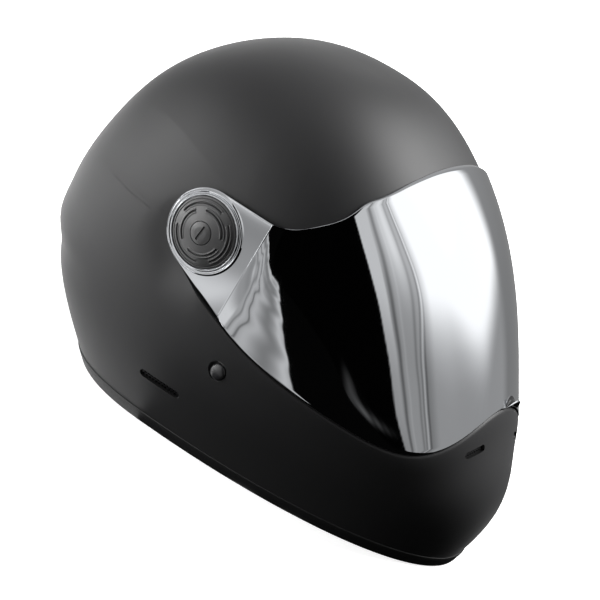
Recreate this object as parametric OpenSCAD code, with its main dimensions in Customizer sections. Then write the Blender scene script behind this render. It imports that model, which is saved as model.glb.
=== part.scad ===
// Full-face downhill helmet with a flip-up mirrored visor.
// It stands on its rim. Y runs backwards, X to the wearer's left and Z up.

/* [Shell] */
// Height of the shell from the rim to the crown
shell_h = 258; // [248:1:268]
// Half of the shell's width at its widest
half_w = 122; // [116:1:126]
// Reach of the chin bar in front of the visor pivot line
chin_reach = 211; // [204:1:220]
// Reach of the back of the head behind the visor pivot line
back_reach = 147; // [140:1:154]
// Wall of the shell
shell_t = 3; // [2:0.25:4]
// Height of the shell's raw edge above the floor, inside the trim
edge_z = 2.6; // [2.2:0.1:4]
// How far the cheek and chin stand out along the visor's lower edge
lip_h = 2.6; // [1:0.1:3.4]
// Height of the soft ridge round the back of the shell
ridge_h = 2; // [0.5:0.1:3]
// Height above the floor at which the ridge runs
ridge_z = 84; // [76:1:92]

/* [Visor] */
// Height of the visor pivot above the floor
pivot_z = 146; // [142:1:150]
// How deep the pivot seat is sunk into the side of the shell
seat_sink = 2.6; // [1.5:0.1:3.4]
// Thickness of the visor sheet
visor_t = 2.2; // [1.6:0.1:2.8]
// Running gap between the shell and the back of the visor
visor_gap = 0.8; // [0.6:0.1:1.4]
// Gap between the visor's lower edge and the lip of the chin bar
edge_gap = 1; // [0.6:0.1:2]
// Radius of the round ear at each end of the visor
ear_r = 28; // [27:0.5:30]
// Distance of the visor's top edge below the crown, at the middle
brow_drop = 25; // [20:1:32]
// Height of the visor's lowest stretch below the pivot
jaw_drop = 68.5; // [64:0.5:74]
// Rise of the chin bar's middle peak above that stretch
peak_rise = 35; // [28:1:40]
// Distance from the pivot to the crease where the ear turns into the front
crease = 36; // [34:0.5:38]
// Width of the shell's rim that the visor covers round the eye port
port_lap = 7; // [5:0.5:10]
// Height of the collar round the dial above the ear
collar_h = 1.9; // [1:0.1:3]
// Reach of the thumb tab in front of the visor
tab_reach = 5; // [3:0.1:6]

/* [Pivot and dials] */
// Radius of the hub that the visor turns on
hub_r = 16; // [13:0.5:18]
// Radial running clearance of the visor, the dials and the screws
run_gap = 0.05; // [0.03:0.01:0.1]
// Radius of the dial
dial_r = 23; // [21:0.5:23.4]
// Height of the dial's rim
dial_rim = 1.2; // [1:0.1:2]
// Rise of the dial's dome above its rim
dial_dome = 5; // [3.6:0.1:5.5]
// Radius of the dial screw's head
head_r = 7.4; // [6:0.1:9]
// Radius of the dial screw's shank
screw_r = 3; // [2:0.1:3.6]
// Depth of the finger grooves in the dial
groove_d = 0.8; // [0.4:0.1:1.2]

/* [Straps] */
// Distance of the strap rivet in front of the pivot
rivet_fwd = 45; // [42:0.5:48]
// Height of the strap rivet above the floor
rivet_z = 71; // [66:1:76]
// Radius of the rivet's round head
rivet_r = 5.4; // [4:0.1:7]
// Width of the chin strap webbing
web_w = 20; // [16:1:24]
// Thickness of the chin strap webbing
web_t = 1.6; // [1.2:0.1:2]
// Wire radius of the strap rings
ring_wire = 1.6; // [1.2:0.1:1.9]

/* [Lining] */
// Thickness of the crown foam liner
foam_t = 24; // [18:1:27]
// Thickness of the chin foam liner
chin_foam_t = 15; // [10:1:20]
// Thickness of the cheek cushions at their crown
cheek_t = 24; // [16:1:28]
// Thickness of the crown cushion
crown_pad_t = 8; // [5:0.5:11]
// Thickness of the neck roll
neck_t = 20; // [14:1:24]

/* [Trim and vents] */
// Height of the rubber edge trim
trim_h = 9; // [7:0.5:11]
// Wall of the rubber edge trim outside the shell
trim_t = 1.1; // [0.8:0.1:2]
// Length of the side vents
side_vent_l = 31; // [24:1:36]
// Height of the side vents
side_vent_h = 5.4; // [4:0.2:6.4]
// Length of the chin vents
chin_vent_l = 17; // [12:1:20]
// Height of the chin vents
chin_vent_h = 4; // [3:0.2:5]

/* [Hidden] */

// Forms of the loft from the rim up to the crown, as shares of the reaches above
width_form = [0.74, 0.98, 1.03, 1.09, 1.16, 1.2];
front_form = [0.95, 1.04, 0.915, 0.835, 0.745, 0.59];
back_form = [0.605, 0.93, 1.06, 1.035, 1.035, 0.91];
// The crown closes as a superellipse, and each level is one in plan
crown_power = 2.7;
front_power = 2.1;
back_power = 2.3;
pivot_fwd = -1;
ear_angle = 80;
port_angle = 77;
jaw_slope = 0.41;
jaw_tilt = atan(jaw_slope);
// The crease leans forwards as it rises, and the sheet comes down to the loft over a run in front of it
crease_lean = 0.105;
crease_run = 20;
// Share of the brow's rise over the ear, by angle from the front
brow_form = [[0, 1], [12, 0.983], [24, 0.925], [36, 0.814], [48, 0.636], [60, 0.43], [68, 0.212],
  [74, 0.035], [80, 0]];
fit_gap = 0.2;
soft_gap = 0.8;
pad_gap = 1.6;
trim_gap = 0.3;

// Loft functions

function ease(a, b, x) = let (t = min(max((x - a) / (b - a), 0), 1)) t * t * (3 - 2 * t);
function mix(a, b, t) = a + (b - a) * t;
function pow_sign(c, e) = sign(c) * pow(abs(c), e);

// Uniform cubic B-spline over a form, its ends run out straight, for 0 <= u <= 5
function spline(form, u) =
  let (
    e = concat([2 * form[0] - form[1]], form, [2 * form[5] - form[4]]),
    v = min(max(u, 0), 4.999999),
    i = floor(v),
    t = v - i
  )
  (pow(1 - t, 3) * e[i] + (3 * pow(t, 3) - 6 * t * t + 4) * e[i + 1]
    + (-3 * pow(t, 3) + 3 * t * t + 3 * t + 1) * e[i + 2] + pow(t, 3) * e[i + 3]) / 6;

// Reach of a skin that lies d outside the loft, at height z
function reach(form, size, z, d) =
  let (top = shell_h + d, s = min(z / top, 0.99999))
  (spline(form, 5 * s) * size + d) * pow(1 - pow(max(s, 0), crown_power), 1 / crown_power);
function half_width(z, d) = reach(width_form, half_w, z, d);
function fwd_reach(c, z, d) =
  c >= 0 ? reach(front_form, chin_reach, z, d) : reach(back_form, back_reach, z, d);
function power_of(c) = c >= 0 ? front_power : back_power;

// Distance in front of the pivot line of a column at angle a, which stands upright beside the ears
function column(a, z, d) =
  let (
    c = cos(a),
    beside = ease(50, 75, abs(a)) * (1 - ease(100, 125, abs(a))),
    k = beside * (1 - ease(0.74, 0.9, z / (shell_h + d)))
  )
  pow_sign(c, 2 / power_of(c)) * mix(fwd_reach(c, z, d), fwd_reach(c, pivot_z, 0), k);
// Distance of the skin from the middle plane
function side(f, z, d) =
  let (n = power_of(f), r = max(fwd_reach(f, z, d), 0.001))
  half_width(z, d) * pow(max(1 - pow(min(abs(f) / r, 1), n), 0), 1 / n);
function fwd_at(a) = column(a, pivot_z, 0);
// Angle of the column that stands at a given distance in front of the pivot line
function angle_at(f) =
  let (n = power_of(f), q = min(pow(abs(f) / fwd_reach(f, pivot_z, 0), n / 2), 1))
  acos(f >= 0 ? q : -q);

seat_x = side(pivot_fwd, pivot_z, 0) - seat_sink;
ear_top = pivot_z + ear_r;
brow_rise = shell_h - brow_drop - pivot_z;
tangent_f = pivot_fwd - ear_r * sin(jaw_tilt);
tangent_z = pivot_z - ear_r * cos(jaw_tilt);
jaw_z = pivot_z - jaw_drop;
visor_out = visor_gap + visor_t;

// Smooth curve through the points of a form
function slope_at(p, i) =
  i == 0 || i == len(p) - 1 ? 0 : (p[i + 1][1] - p[i - 1][1]) / (p[i + 1][0] - p[i - 1][0]);
function through(p, x) =
  let (
    i = max([for (k = [0:len(p) - 2]) p[k][0] <= x ? k : 0]),
    h = p[i + 1][0] - p[i][0],
    t = (x - p[i][0]) / h
  )
  (2 * pow(t, 3) - 3 * t * t + 1) * p[i][1] + (pow(t, 3) - 2 * t * t + t) * h * slope_at(p, i)
    + (3 * t * t - 2 * pow(t, 3)) * p[i + 1][1] + (pow(t, 3) - t * t) * h * slope_at(p, i + 1);

// Upper and lower edge of the visor, which end in a circle round the pivot
function ear_half(f) = sqrt(max(ear_r * ear_r - pow(f - pivot_fwd, 2), 0));
function brow_z(a) =
  let (b = abs(a), f = fwd_at(b))
  b < ear_angle ? ear_top + (brow_rise - ear_r) * through(brow_form, b)
    : pivot_z + (f > pivot_fwd ? ear_r : ear_half(f));
function jaw_side(f) = f > tangent_f ? tangent_z - jaw_slope * (f - tangent_f) : pivot_z - ear_half(f);
function jaw_line(a) =
  let (b = abs(a))
  b < 42 ? jaw_z + peak_rise * (0.5 + 0.5 * cos(180 * b / 42))
    : b < ear_angle
      ? jaw_z + (jaw_side(fwd_at(ear_angle)) - jaw_z) * pow(max(b - 44, 0) / (ear_angle - 44), 1.6)
      : jaw_side(fwd_at(b));

// Eye port, a superellipse between the two edges, drawn in by the lap
function port_mid(a) = (brow_z(min(abs(a), port_angle)) + jaw_line(min(abs(a), port_angle))) / 2;
function port_half(a, in) =
  let (b = min(abs(a) / (port_angle - in / 2.4), 1))
  max((brow_z(min(abs(a), port_angle)) - jaw_line(min(abs(a), port_angle))) / 2 - port_lap - in, 0)
    * pow(max(1 - pow(b, 6), 0), 1 / 6);
function port_top(a, in = 0) = port_mid(a) + port_half(a, in);
function port_low(a, in = 0) = port_mid(a) - port_half(a, in);

// Skins of the shell. below is 1 under the visor's lower edge and 0 above it.
function pivot_dist(f, z) = norm([f - pivot_fwd, z - pivot_z]);
function dish(a, f, z, below) =
  let (r = pivot_dist(f, z), soft = 1 - ease(ear_r + 2, ear_r + 30, r), wide = 1 - ease(55, 62, r))
  below == 1 ? ease(84, 96, abs(a)) * soft : mix(soft, wide, ease(-12, 12, f - pivot_fwd));
function ridge(a, z) =
  ease(112, 142, abs(a)) * ridge_h * (exp(-pow((z - ridge_z) / 12, 2))
    - 0.7 * exp(-pow((z - ridge_z + 16) / 8, 2)));
function lip(a, z) = lip_h * (1 - ease(84, 96, abs(a))) * exp(-pow((jaw_line(a) - edge_gap - z) / 16, 2));
function skin(a, z, d, below = 0, out = 0) =
  let (
    e = d + ridge(a, z) + (below == 1 ? out * lip(a, z) : 0),
    f = column(a, z, e),
    s = side(f, z, e),
    w = dish(a, f, z, below),
    x = s - w * max(s - seat_x - d, 0)
  )
  [x * (a < 0 ? -1 : 1), -f, z];
// The visor's own sheet is flat at the ears, turns at the crease and joins the loft in front of it
function sheet(a, z, d) =
  let (
    f = column(a, z, d),
    past = f - pivot_fwd - crease - crease_lean * (z - pivot_z),
    t = min(max(past / crease_run, 0), 1)
  )
  [mix(seat_x + d, side(f, z, d), 1 - pow(1 - t, 2)) * (a < 0 ? -1 : 1), -f, z];

// The whole helmet is centred on the floor
loft_heights = [20:4:120];
front_most = max([for (z = loft_heights) -skin(0, z, 0, z < jaw_line(0) ? 1 : 0, 1)[1]]);
back_most = max([for (z = loft_heights) skin(180, z, 0)[1]]);
mid_shift = (front_most - back_most) / 2;

// Grid solids

function quad(a, b, c, d) = [[a, b, c], [a, c, d]];
function flat_list(l) = [for (a = l) for (b = a) b];

// A closed slab between an outer and an inner grid, each a list of rows of points
module slab(outer, inner) {
  m = len(outer);
  n = len(outer[0]);
  k = m * n;
  faces = concat(
    [for (r = [0:m - 2]) for (c = [0:n - 2])
      quad(r * n + c, (r + 1) * n + c, (r + 1) * n + c + 1, r * n + c + 1)],
    [for (r = [0:m - 2]) for (c = [0:n - 2])
      quad(k + r * n + c, k + r * n + c + 1, k + (r + 1) * n + c + 1, k + (r + 1) * n + c)],
    [for (c = [0:n - 2]) quad(c, c + 1, k + c + 1, k + c)],
    [for (c = [0:n - 2]) quad(k - n + c + 1, k - n + c, 2 * k - n + c, 2 * k - n + c + 1)],
    [for (r = [0:m - 2]) quad((r + 1) * n, r * n, k + r * n, k + (r + 1) * n)],
    [for (r = [0:m - 2])
      quad(r * n + n - 1, (r + 1) * n + n - 1, k + (r + 1) * n + n - 1, k + r * n + n - 1)]
  );
  polyhedron(concat(flat_list(outer), flat_list(inner)), flat_list(faces), convexity = 8);
}

// A closed ring swept round a loop of sections, each a list of points in the same order
module hoop(sections) {
  m = len(sections);
  n = len(sections[0]);
  faces = [for (i = [0:m - 1]) for (j = [0:n - 1])
    let (i2 = (i + 1) % m, j2 = (j + 1) % n) quad(i * n + j, i2 * n + j, i2 * n + j2, i * n + j2)];
  polyhedron(flat_list(sections), flat_list(faces), convexity = 8);
}

// A bar swept along a list of sections, closed at both ends
module bar(sections) {
  m = len(sections);
  n = len(sections[0]);
  faces = flat_list([for (i = [0:m - 2]) for (j = [0:n - 1])
    let (j2 = (j + 1) % n) quad(i * n + j, (i + 1) * n + j, (i + 1) * n + j2, i * n + j2)]);
  caps = [[for (j = [0:n - 1]) j], [for (j = [n - 1:-1:0]) (m - 1) * n + j]];
  polyhedron(flat_list(sections), concat(faces, caps), convexity = 8);
}

// A dome between two grids that close at the crown, open below and closed all the way round
module dome(outer, inner, top_out, top_in) {
  m = len(outer);
  n = len(outer[0]);
  k = m * n;
  faces = concat(
    [for (r = [0:m - 2]) for (c = [0:n - 1]) let (d = (c + 1) % n)
      quad(r * n + c, (r + 1) * n + c, (r + 1) * n + d, r * n + d)],
    [for (r = [0:m - 2]) for (c = [0:n - 1]) let (d = (c + 1) % n)
      quad(k + r * n + c, k + r * n + d, k + (r + 1) * n + d, k + (r + 1) * n + c)],
    [for (c = [0:n - 1]) let (d = (c + 1) % n) quad(c, d, k + d, k + c)],
    [[for (c = [0:n - 1]) let (d = (c + 1) % n) [k - n + c, 2 * k, k - n + d]]],
    [[for (c = [0:n - 1]) let (d = (c + 1) % n) [2 * k - n + d, 2 * k + 1, 2 * k - n + c]]]
  );
  points = concat(flat_list(outer), flat_list(inner), [top_out, top_in]);
  polyhedron(points, flat_list(faces), convexity = 8);
}

// Moves a piece from the pivot line to its place, and puts parts on either side
module placed() { translate([0, mid_shift, 0]) children(); }
module on_side(s) { placed() mirror([s < 0 ? 1 : 0, 0, 0]) children(); }
// Lays a revolved piece along X with its foot at a given distance from the middle
module along_x(x, f, z) { translate([x, -f, z]) rotate([0, 90, 0]) children(); }
module at_pivot() { along_x(seat_x, pivot_fwd, pivot_z) children(); }
$fn = 64;

// Outer shell

half_columns = concat([for (a = [0:6:54]) a], [60, 66, 70.5, 73.5, 75.8, 76.7, 77],
  [80, 83, 86, 89, 92, 95, 98, 101], [106, 112, 119, 126, 134, 142, 151, 160, 170, 180]);
ring_columns = concat([for (i = [len(half_columns) - 2:-1:1]) -half_columns[i]], half_columns);
band_rows = [0, 0.08, 0.17, 0.28, 0.4, 0.53, 0.67, 0.81, 0.92, 1];
flange_rows = [0, 0.4, 0.75, 1];
crown_rows = [0, 0.16, 0.32, 0.46, 0.59, 0.71, 0.82, 0.9, 0.955, 0.985, 0.998];

function open_column(a) = abs(a) < port_angle - 0.001;
// Heights from the rim up to the lower edge of the eye port, with the step below the visor
function low_heights(a) =
  let (edge = jaw_line(a) - edge_gap)
  concat([for (t = band_rows) mix(edge_z, edge, t)],
    [for (t = flange_rows) mix(edge + 0.5, port_low(a), t)]);
function low_outer(a) =
  let (h = low_heights(a), n = len(band_rows))
  [for (i = [0:len(h) - 1]) skin(a, h[i], 0, i < n ? 1 : 0, 1)];
function low_inner(a) =
  let (h = low_heights(a), n = len(band_rows))
  [for (i = [0:len(h) - 1]) skin(a, h[i], -shell_t, i < n ? 1 : 0, 0)];
function high_skin(a, d) =
  let (z0 = port_top(a)) [for (t = crown_rows) skin(a, mix(z0, shell_h + d, t), d)];
function turned(l) = [for (r = [0:len(l[0]) - 1]) [for (c = [0:len(l) - 1]) l[c][r]]];

module shell_body() {
  cols = ring_columns;
  n = len(cols);
  lows = len(band_rows) + len(flange_rows);
  highs = len(crown_rows);
  lo = turned([for (a = cols) low_outer(a)]);
  li = turned([for (a = cols) low_inner(a)]);
  ho = turned([for (a = cols) high_skin(a, 0)]);
  hi = turned([for (a = cols) high_skin(a, -shell_t)]);
  points = concat(flat_list(lo), flat_list(ho), flat_list(li), flat_list(hi),
    [[0, 0, shell_h], [0, 0, shell_h - shell_t]]);
  half_count = (lows + highs) * n;
  last = 2 * half_count;
  // Index of a point: s is 0 outside and 1 inside, and rows count from the rim to the crown
  function at(s, r, c) = s * half_count + r * n + c;
  function up(s, r, c) = r == 0 && !open_column(cols[c]) ? at(s, lows - 1, c) : at(s, lows + r, c);
  function edge_open(c) = open_column(cols[c]) || open_column(cols[(c + 1) % n]);
  faces = concat(
    [for (r = [0:lows - 2]) for (c = [0:n - 1]) let (d = (c + 1) % n)
      quad(at(0, r, c), at(0, r + 1, c), at(0, r + 1, d), at(0, r, d))],
    [for (r = [0:lows - 2]) for (c = [0:n - 1]) let (d = (c + 1) % n)
      quad(at(1, r, c), at(1, r, d), at(1, r + 1, d), at(1, r + 1, c))],
    [for (r = [0:highs - 2]) for (c = [0:n - 1]) let (d = (c + 1) % n)
      quad(up(0, r, c), up(0, r + 1, c), up(0, r + 1, d), up(0, r, d))],
    [for (r = [0:highs - 2]) for (c = [0:n - 1]) let (d = (c + 1) % n)
      quad(up(1, r, c), up(1, r, d), up(1, r + 1, d), up(1, r + 1, c))],
    [for (c = [0:n - 1]) let (d = (c + 1) % n) quad(at(0, 0, c), at(0, 0, d), at(1, 0, d), at(1, 0, c))],
    [for (c = [0:n - 1]) let (d = (c + 1) % n) if (edge_open(c))
      quad(at(0, lows - 1, d), at(0, lows - 1, c), at(1, lows - 1, c), at(1, lows - 1, d))],
    [for (c = [0:n - 1]) let (d = (c + 1) % n) if (edge_open(c))
      quad(up(0, 0, c), up(0, 0, d), up(1, 0, d), up(1, 0, c))],
    [[for (c = [0:n - 1]) let (d = (c + 1) % n) [up(0, highs - 1, c), last, up(0, highs - 1, d)]]],
    [[for (c = [0:n - 1]) let (d = (c + 1) % n) [up(1, highs - 1, d), last + 1, up(1, highs - 1, c)]]]
  );
  polyhedron(points, flat_list(faces), convexity = 10);
}

// Upright slot outline, lying along Y
module slot(l, h) {
  square([l - h, h], center = true);
  for (s = [-1, 1]) translate([s * (l - h) / 2, 0]) circle(h / 2);
}

// Frame on the skin at angle a and height z: Z looks out of the shell and X runs round it
module on_skin(a, z, d = 0) {
  p = skin(a, z, d, 1);
  round_way = skin(a + 1, z, d, 1) - skin(a - 1, z, d, 1);
  up_way = skin(a, z + 1, d, 1) - skin(a, z - 1, d, 1);
  out_way = cross(round_way, up_way) / norm(cross(round_way, up_way));
  x_way = round_way / norm(round_way);
  y_way = cross(out_way, x_way);
  multmatrix([
    [x_way[0], y_way[0], out_way[0], p[0]],
    [x_way[1], y_way[1], out_way[1], p[1]],
    [x_way[2], y_way[2], out_way[2], p[2]],
    [0, 0, 0, 1]
  ]) children();
}

side_vent_angle = angle_at(9);
side_vent_z = 38.5;
chin_vent_angle = 14.2;
chin_vent_z = jaw_line(chin_vent_angle) - 15.5;
chin_vent_turn = 22;

module side_vent_cut(grow = 0, depth = 12) {
  on_skin(side_vent_angle, side_vent_z)
    translate([0, 0, -depth]) linear_extrude(depth + 4) slot(side_vent_l + grow, side_vent_h + grow);
}
module chin_vent_cut(grow = 0, depth = 30) {
  on_skin(chin_vent_angle, chin_vent_z) rotate([0, 0, -chin_vent_turn])
    translate([0, 0, -depth]) linear_extrude(depth + 6) slot(chin_vent_l + grow, chin_vent_h + grow);
}

rivet_seat_x = side(rivet_fwd, rivet_z, 0) - 1.2;
hub_stem_r = 8;
nut_r = 11;
nut_t = 2.6;

module outer_shell() {
  color("#2a2a2b") placed() difference() {
    shell_body();
    for (s = [0, 1]) mirror([s, 0, 0]) {
      along_x(seat_x - 12, pivot_fwd, pivot_z) cylinder(r = hub_stem_r + fit_gap, h = 24);
      along_x(rivet_seat_x - 20, rivet_fwd, rivet_z) cylinder(r = screw_r + fit_gap, h = 40);
      along_x(rivet_seat_x, rivet_fwd, rivet_z) cylinder(r = rivet_r + 0.8, h = 12);
      side_vent_cut();
      chin_vent_cut();
    }
  }
}

// Rubber trim round the rim: a U that grips the shell's raw edge
module bottom_trim() {
  inner = -shell_t;
  profile = [[trim_gap, trim_h], [trim_t, trim_h - 1], [trim_t, 1.2], [0, 0], [inner - 1, 0],
    [inner - trim_t - 1, 1.4], [inner - trim_t - 1, trim_h - 1.6], [inner - trim_gap, trim_h],
    [inner - trim_gap, edge_z - 0.1], [trim_gap, edge_z - 0.1]];
  color("#141414") placed() hoop([for (a = ring_columns) [for (p = profile) skin(a, p[1], p[0], 1)]]);
}

// Rubber seal that lines the edge of the eye port behind the visor
module eyeport_seal() {
  shares = [for (a = half_columns) if (open_column(a)) a / port_angle];
  loop = concat([for (s = shares) [s, 1]], [for (i = [len(shares) - 1:-1:0]) [shares[i], -1]],
    [for (i = [1:len(shares) - 1]) [-shares[i], -1]],
    [for (i = [len(shares) - 1:-1:1]) [-shares[i], 1]]);
  front = 0.15;
  back = -shell_t;
  function edge_point(q, in, d) =
    let (a = q[0] * (port_angle - in / 2.4), z = q[1] > 0 ? port_top(a, in) : port_low(a, in))
    skin(a, z, d);
  color("#101010") placed() hoop([for (q = loop)
    [edge_point(q, 3, front), edge_point(q, 3, back), edge_point(q, 0.6, back),
      edge_point(q, 0.6, front)]]);
}

// Visor: one curved sheet with a crease before each ear, a collar round each dial and a thumb tab

ear_turns = [75, 55, 38, 24, 10];
visor_half = concat([for (a = [0:6:66]) a], [70, 73.5, 76, 77.6, 79.2, 80.8, 83, 86, 89.5, 93],
  [for (t = ear_turns) if (t < 60) angle_at(pivot_fwd - ear_r * cos(t))]);
visor_columns = concat([for (i = [len(visor_half) - 1:-1:1]) -visor_half[i]], visor_half);
visor_rows = [0, 0.02, 0.18, 0.36, 0.54, 0.72, 0.88, 1];

module visor_sheet() {
  function row(t, d) = [for (a = visor_columns) sheet(a, mix(jaw_line(a), brow_z(a), t), d)];
  slab([for (t = visor_rows) row(t, visor_out)], [for (t = visor_rows) row(t, visor_gap)]);
}

// Stepped collar of the visor's ear, seen in section from the pivot outwards
module collar() {
  base = visor_gap + visor_t / 2;
  top = visor_out + collar_h;
  window = dial_r + 0.3;
  edge = ear_r - 0.2;
  rotate_extrude() polygon([[window, base], [window, top - 0.8], [window + 0.8, top - 0.1],
    [window + 2.2, top], [window + 2.8, top - 0.8], [edge - 0.6, top - 1.1],
    [edge, top - 1.8], [edge, base]]);
}

// Thumb tab: the middle of the lower edge bends out in a scoop to a thin lip
module thumb_tab() {
  tab_angle = 7;
  scoop_h = 6.5;
  shelf = visor_out + tab_reach;
  section = [[visor_out - 1, 0.1], [shelf - 0.4, -0.3], [shelf, 0.3], [shelf - 0.2, 1], [shelf * 0.7, 1.5],
    [visor_out + 0.8, scoop_h * 0.5], [visor_out, scoop_h], [visor_out - 1, scoop_h]];
  // At its ends the section sinks into the visor's sheet
  function full(a) = pow(max(1 - pow(abs(a) / tab_angle, 2), 0), 0.6);
  bar([for (i = [6:-1:-6]) let (a = i * tab_angle / 6) [for (p = section)
    sheet(a, jaw_line(a) + 0.4 + p[1], mix(min(p[0], visor_out - 0.3), p[0], full(a)))]]);
}

module visor() {
  color("#b9bcc0") placed() difference() {
    union() {
      visor_sheet();
      thumb_tab();
      for (s = [0, 1]) mirror([s, 0, 0]) at_pivot() collar();
    }
    for (s = [0, 1]) mirror([s, 0, 0]) at_pivot() cylinder(r = hub_r, h = 20, center = true);
  }
}

// Pivot hub: the visor turns on its wide boss and the dial on its small one

boss_top = visor_out + 0.3;
spigot_r = 6;
spigot_top = boss_top + 1.5;

module pivot_hub() {
  lift = 0.05;
  stem = shell_t - 0.1;
  color("#3a3b3d") at_pivot() difference() {
    union() {
      translate([0, 0, lift]) cylinder(r = hub_r - run_gap, h = boss_top - lift);
      translate([0, 0, lift]) cylinder(r = spigot_r, h = spigot_top - lift);
      translate([0, 0, -stem]) cylinder(r = hub_stem_r, h = stem + 1);
    }
    translate([0, 0, -10]) cylinder(r = screw_r + run_gap, h = 30);
  }
}

module pivot_nut() {
  color("#8d9094") at_pivot() translate([0, 0, -shell_t - nut_t - 0.15]) difference() {
    cylinder(r = nut_r, h = nut_t);
    translate([0, 0, -1]) cylinder(r = screw_r + run_gap, h = nut_t + 2);
  }
}

// Dial: a dome with rings of arc grooves and a sunk seat for the screw's head

head_seat = spigot_top + 1.4;
rim_top = boss_top + dial_rim;
// Height of the dome at radius r
function dome_at(r) = rim_top + dial_dome * (1 - pow(r / dial_r, 2));

module dial_groove(r, from, sweep) {
  floor_z = dome_at(r) - groove_d;
  rotate([0, 0, from]) rotate_extrude(angle = sweep) translate([r - 0.55, floor_z]) square([1.1, 4]);
}

module dial() {
  gap = 0.02;
  color("#1b1b1c") at_pivot() difference() {
    rotate_extrude() polygon(concat([[0, boss_top + gap], [dial_r - 0.4, boss_top + gap],
      [dial_r, boss_top + 0.5]], [for (i = [8:-1:0]) [dial_r * i / 8, dome_at(dial_r * i / 8)]]));
    cylinder(r = spigot_r + run_gap, h = spigot_top + 0.1);
    cylinder(r = screw_r + run_gap, h = 30);
    translate([0, 0, head_seat]) cylinder(r = head_r + 0.15, h = 20);
    for (g = [[10.2, 3], [13.2, 3], [16.2, 4], [19.2, 4]])
      for (i = [0:g[1] - 1])
        dial_groove(g[0], i * 360 / g[1] + g[0] * 11, 360 / g[1] - 26);
  }
}

module dial_screw() {
  head_h = dome_at(0) - head_seat + 0.3;
  color("#202021") at_pivot() difference() {
    union() {
      translate([0, 0, head_seat]) rotate_extrude() polygon([[0, 0], [head_r, 0],
        [head_r, head_h - 0.8], [head_r * 0.8, head_h - 0.3], [head_r * 0.4, head_h], [0, head_h]]);
      translate([0, 0, -shell_t - nut_t]) cylinder(r = screw_r, h = head_seat + shell_t + nut_t + 1);
    }
    translate([-5.2, -0.9, head_seat + head_h - 1.3]) cube([10.4, 1.8, 3]);
  }
}

// Strap rivet: domed head in a shallow seat, with a shank through the shell

washer_t = 1.2;
washer_r = 7.5;
// The webbing lies flat, so its front edge sets how close it comes to the curved wall
function strap_at(z) = side(rivet_fwd + web_w / 2, z, -shell_t) - soft_gap - web_t / 2;
strap_x = strap_at(rivet_z - washer_r - 1);
strap_top = rivet_z + 14;

module strap_rivet() {
  reach_in = rivet_seat_x - (strap_x - web_t / 2 - washer_t) + 0.6;
  color("#1d1d1e") along_x(rivet_seat_x, rivet_fwd, rivet_z) {
    rotate_extrude() polygon(concat([[0, 0], [rivet_r, 0]],
      [for (t = [0:15:90]) [rivet_r * cos(t), 0.7 + 2.1 * sin(t)]]));
    translate([0, 0, -reach_in]) cylinder(r = screw_r - 0.4, h = reach_in + 0.5);
  }
}

module rivet_washer() {
  color("#8d9094") along_x(strap_x - web_t / 2 - washer_t - 0.05, rivet_fwd, rivet_z) difference() {
    cylinder(r = washer_r, h = washer_t);
    translate([0, 0, -1]) cylinder(r = screw_r - 0.35, h = washer_t + 2);
  }
}

// Vent meshes: thin pierced plates held in the slots

module pierced(l, h, rows, cols) {
  pitch_x = (l - h) / cols;
  pitch_y = h / (rows + 0.35);
  difference() {
    slot(l, h);
    for (i = [0:cols - 1]) for (j = [0:rows - 1])
      translate([(i - (cols - 1) / 2) * pitch_x, (j - (rows - 1) / 2) * pitch_y])
        square([pitch_x - 0.7, pitch_y - 0.7], center = true);
  }
}

module side_vent_mesh() {
  color("#0d0d0d") on_skin(side_vent_angle, side_vent_z)
    translate([0, 0, -shell_t + 0.6]) linear_extrude(1)
      pierced(side_vent_l - fit_gap, side_vent_h - fit_gap, 2, 10);
}

module chin_vent_mesh() {
  color("#0d0d0d") on_skin(chin_vent_angle, chin_vent_z) rotate([0, 0, -chin_vent_turn])
    translate([0, 0, -shell_t + 0.6]) linear_extrude(1)
      pierced(chin_vent_l - fit_gap, chin_vent_h - fit_gap, 2, 6);
}

// Crown foam: a dome inside the shell, cut away over the eye port, the cheeks and the nape

foam_d = -shell_t - soft_gap;
cheek_top_z = pivot_z - 24;
nape_z = 66;
foam_half = concat([for (a = [0:9:54]) a], [61, 67, 72, 75.5, 77, 79, 82, 86], [for (a = [90:9:180]) a]);
foam_columns = concat([for (i = [len(foam_half) - 2:-1:1]) -foam_half[i]], foam_half);
foam_rows = [0, 0.14, 0.28, 0.42, 0.56, 0.69, 0.8, 0.89, 0.95, 0.985, 0.998];

// The lining doesn't follow the ridge, and stays clear of the hollow below it
function lining(a, z, d) =
  let (clear = 0.7 * ridge_h * ease(112, 142, abs(a)) * (1 - ease(ridge_z + 20, ridge_z + 60, z)))
  skin(a, z, d - ridge(a, z) - clear);
function foam_low(a) =
  let (b = abs(a), open = port_top(min(b, port_angle)) + 6, cheek = cheek_top_z + 2)
  mix(mix(open, cheek, ease(port_angle, 84, b)), nape_z, ease(103, 130, b));

module crown_foam() {
  inner_d = foam_d - foam_t;
  function row(t, d) = [for (a = foam_columns) lining(a, mix(foam_low(a), shell_h + d, t), d)];
  color("#26272a") placed() difference() {
    dome([for (t = foam_rows) row(t, foam_d)], [for (t = foam_rows) row(t, inner_d)],
      [0, 0, shell_h + foam_d], [0, 0, shell_h + inner_d]);
    for (s = [0, 1]) mirror([s, 0, 0])
      along_x(seat_x - shell_t - nut_t - 0.4, pivot_fwd, pivot_z) cylinder(r = nut_r + 0.4, h = 12);
  }
}

// Chin foam: a curved block behind the chin bar, between the two cheek cores

chin_end = 50;

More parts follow.
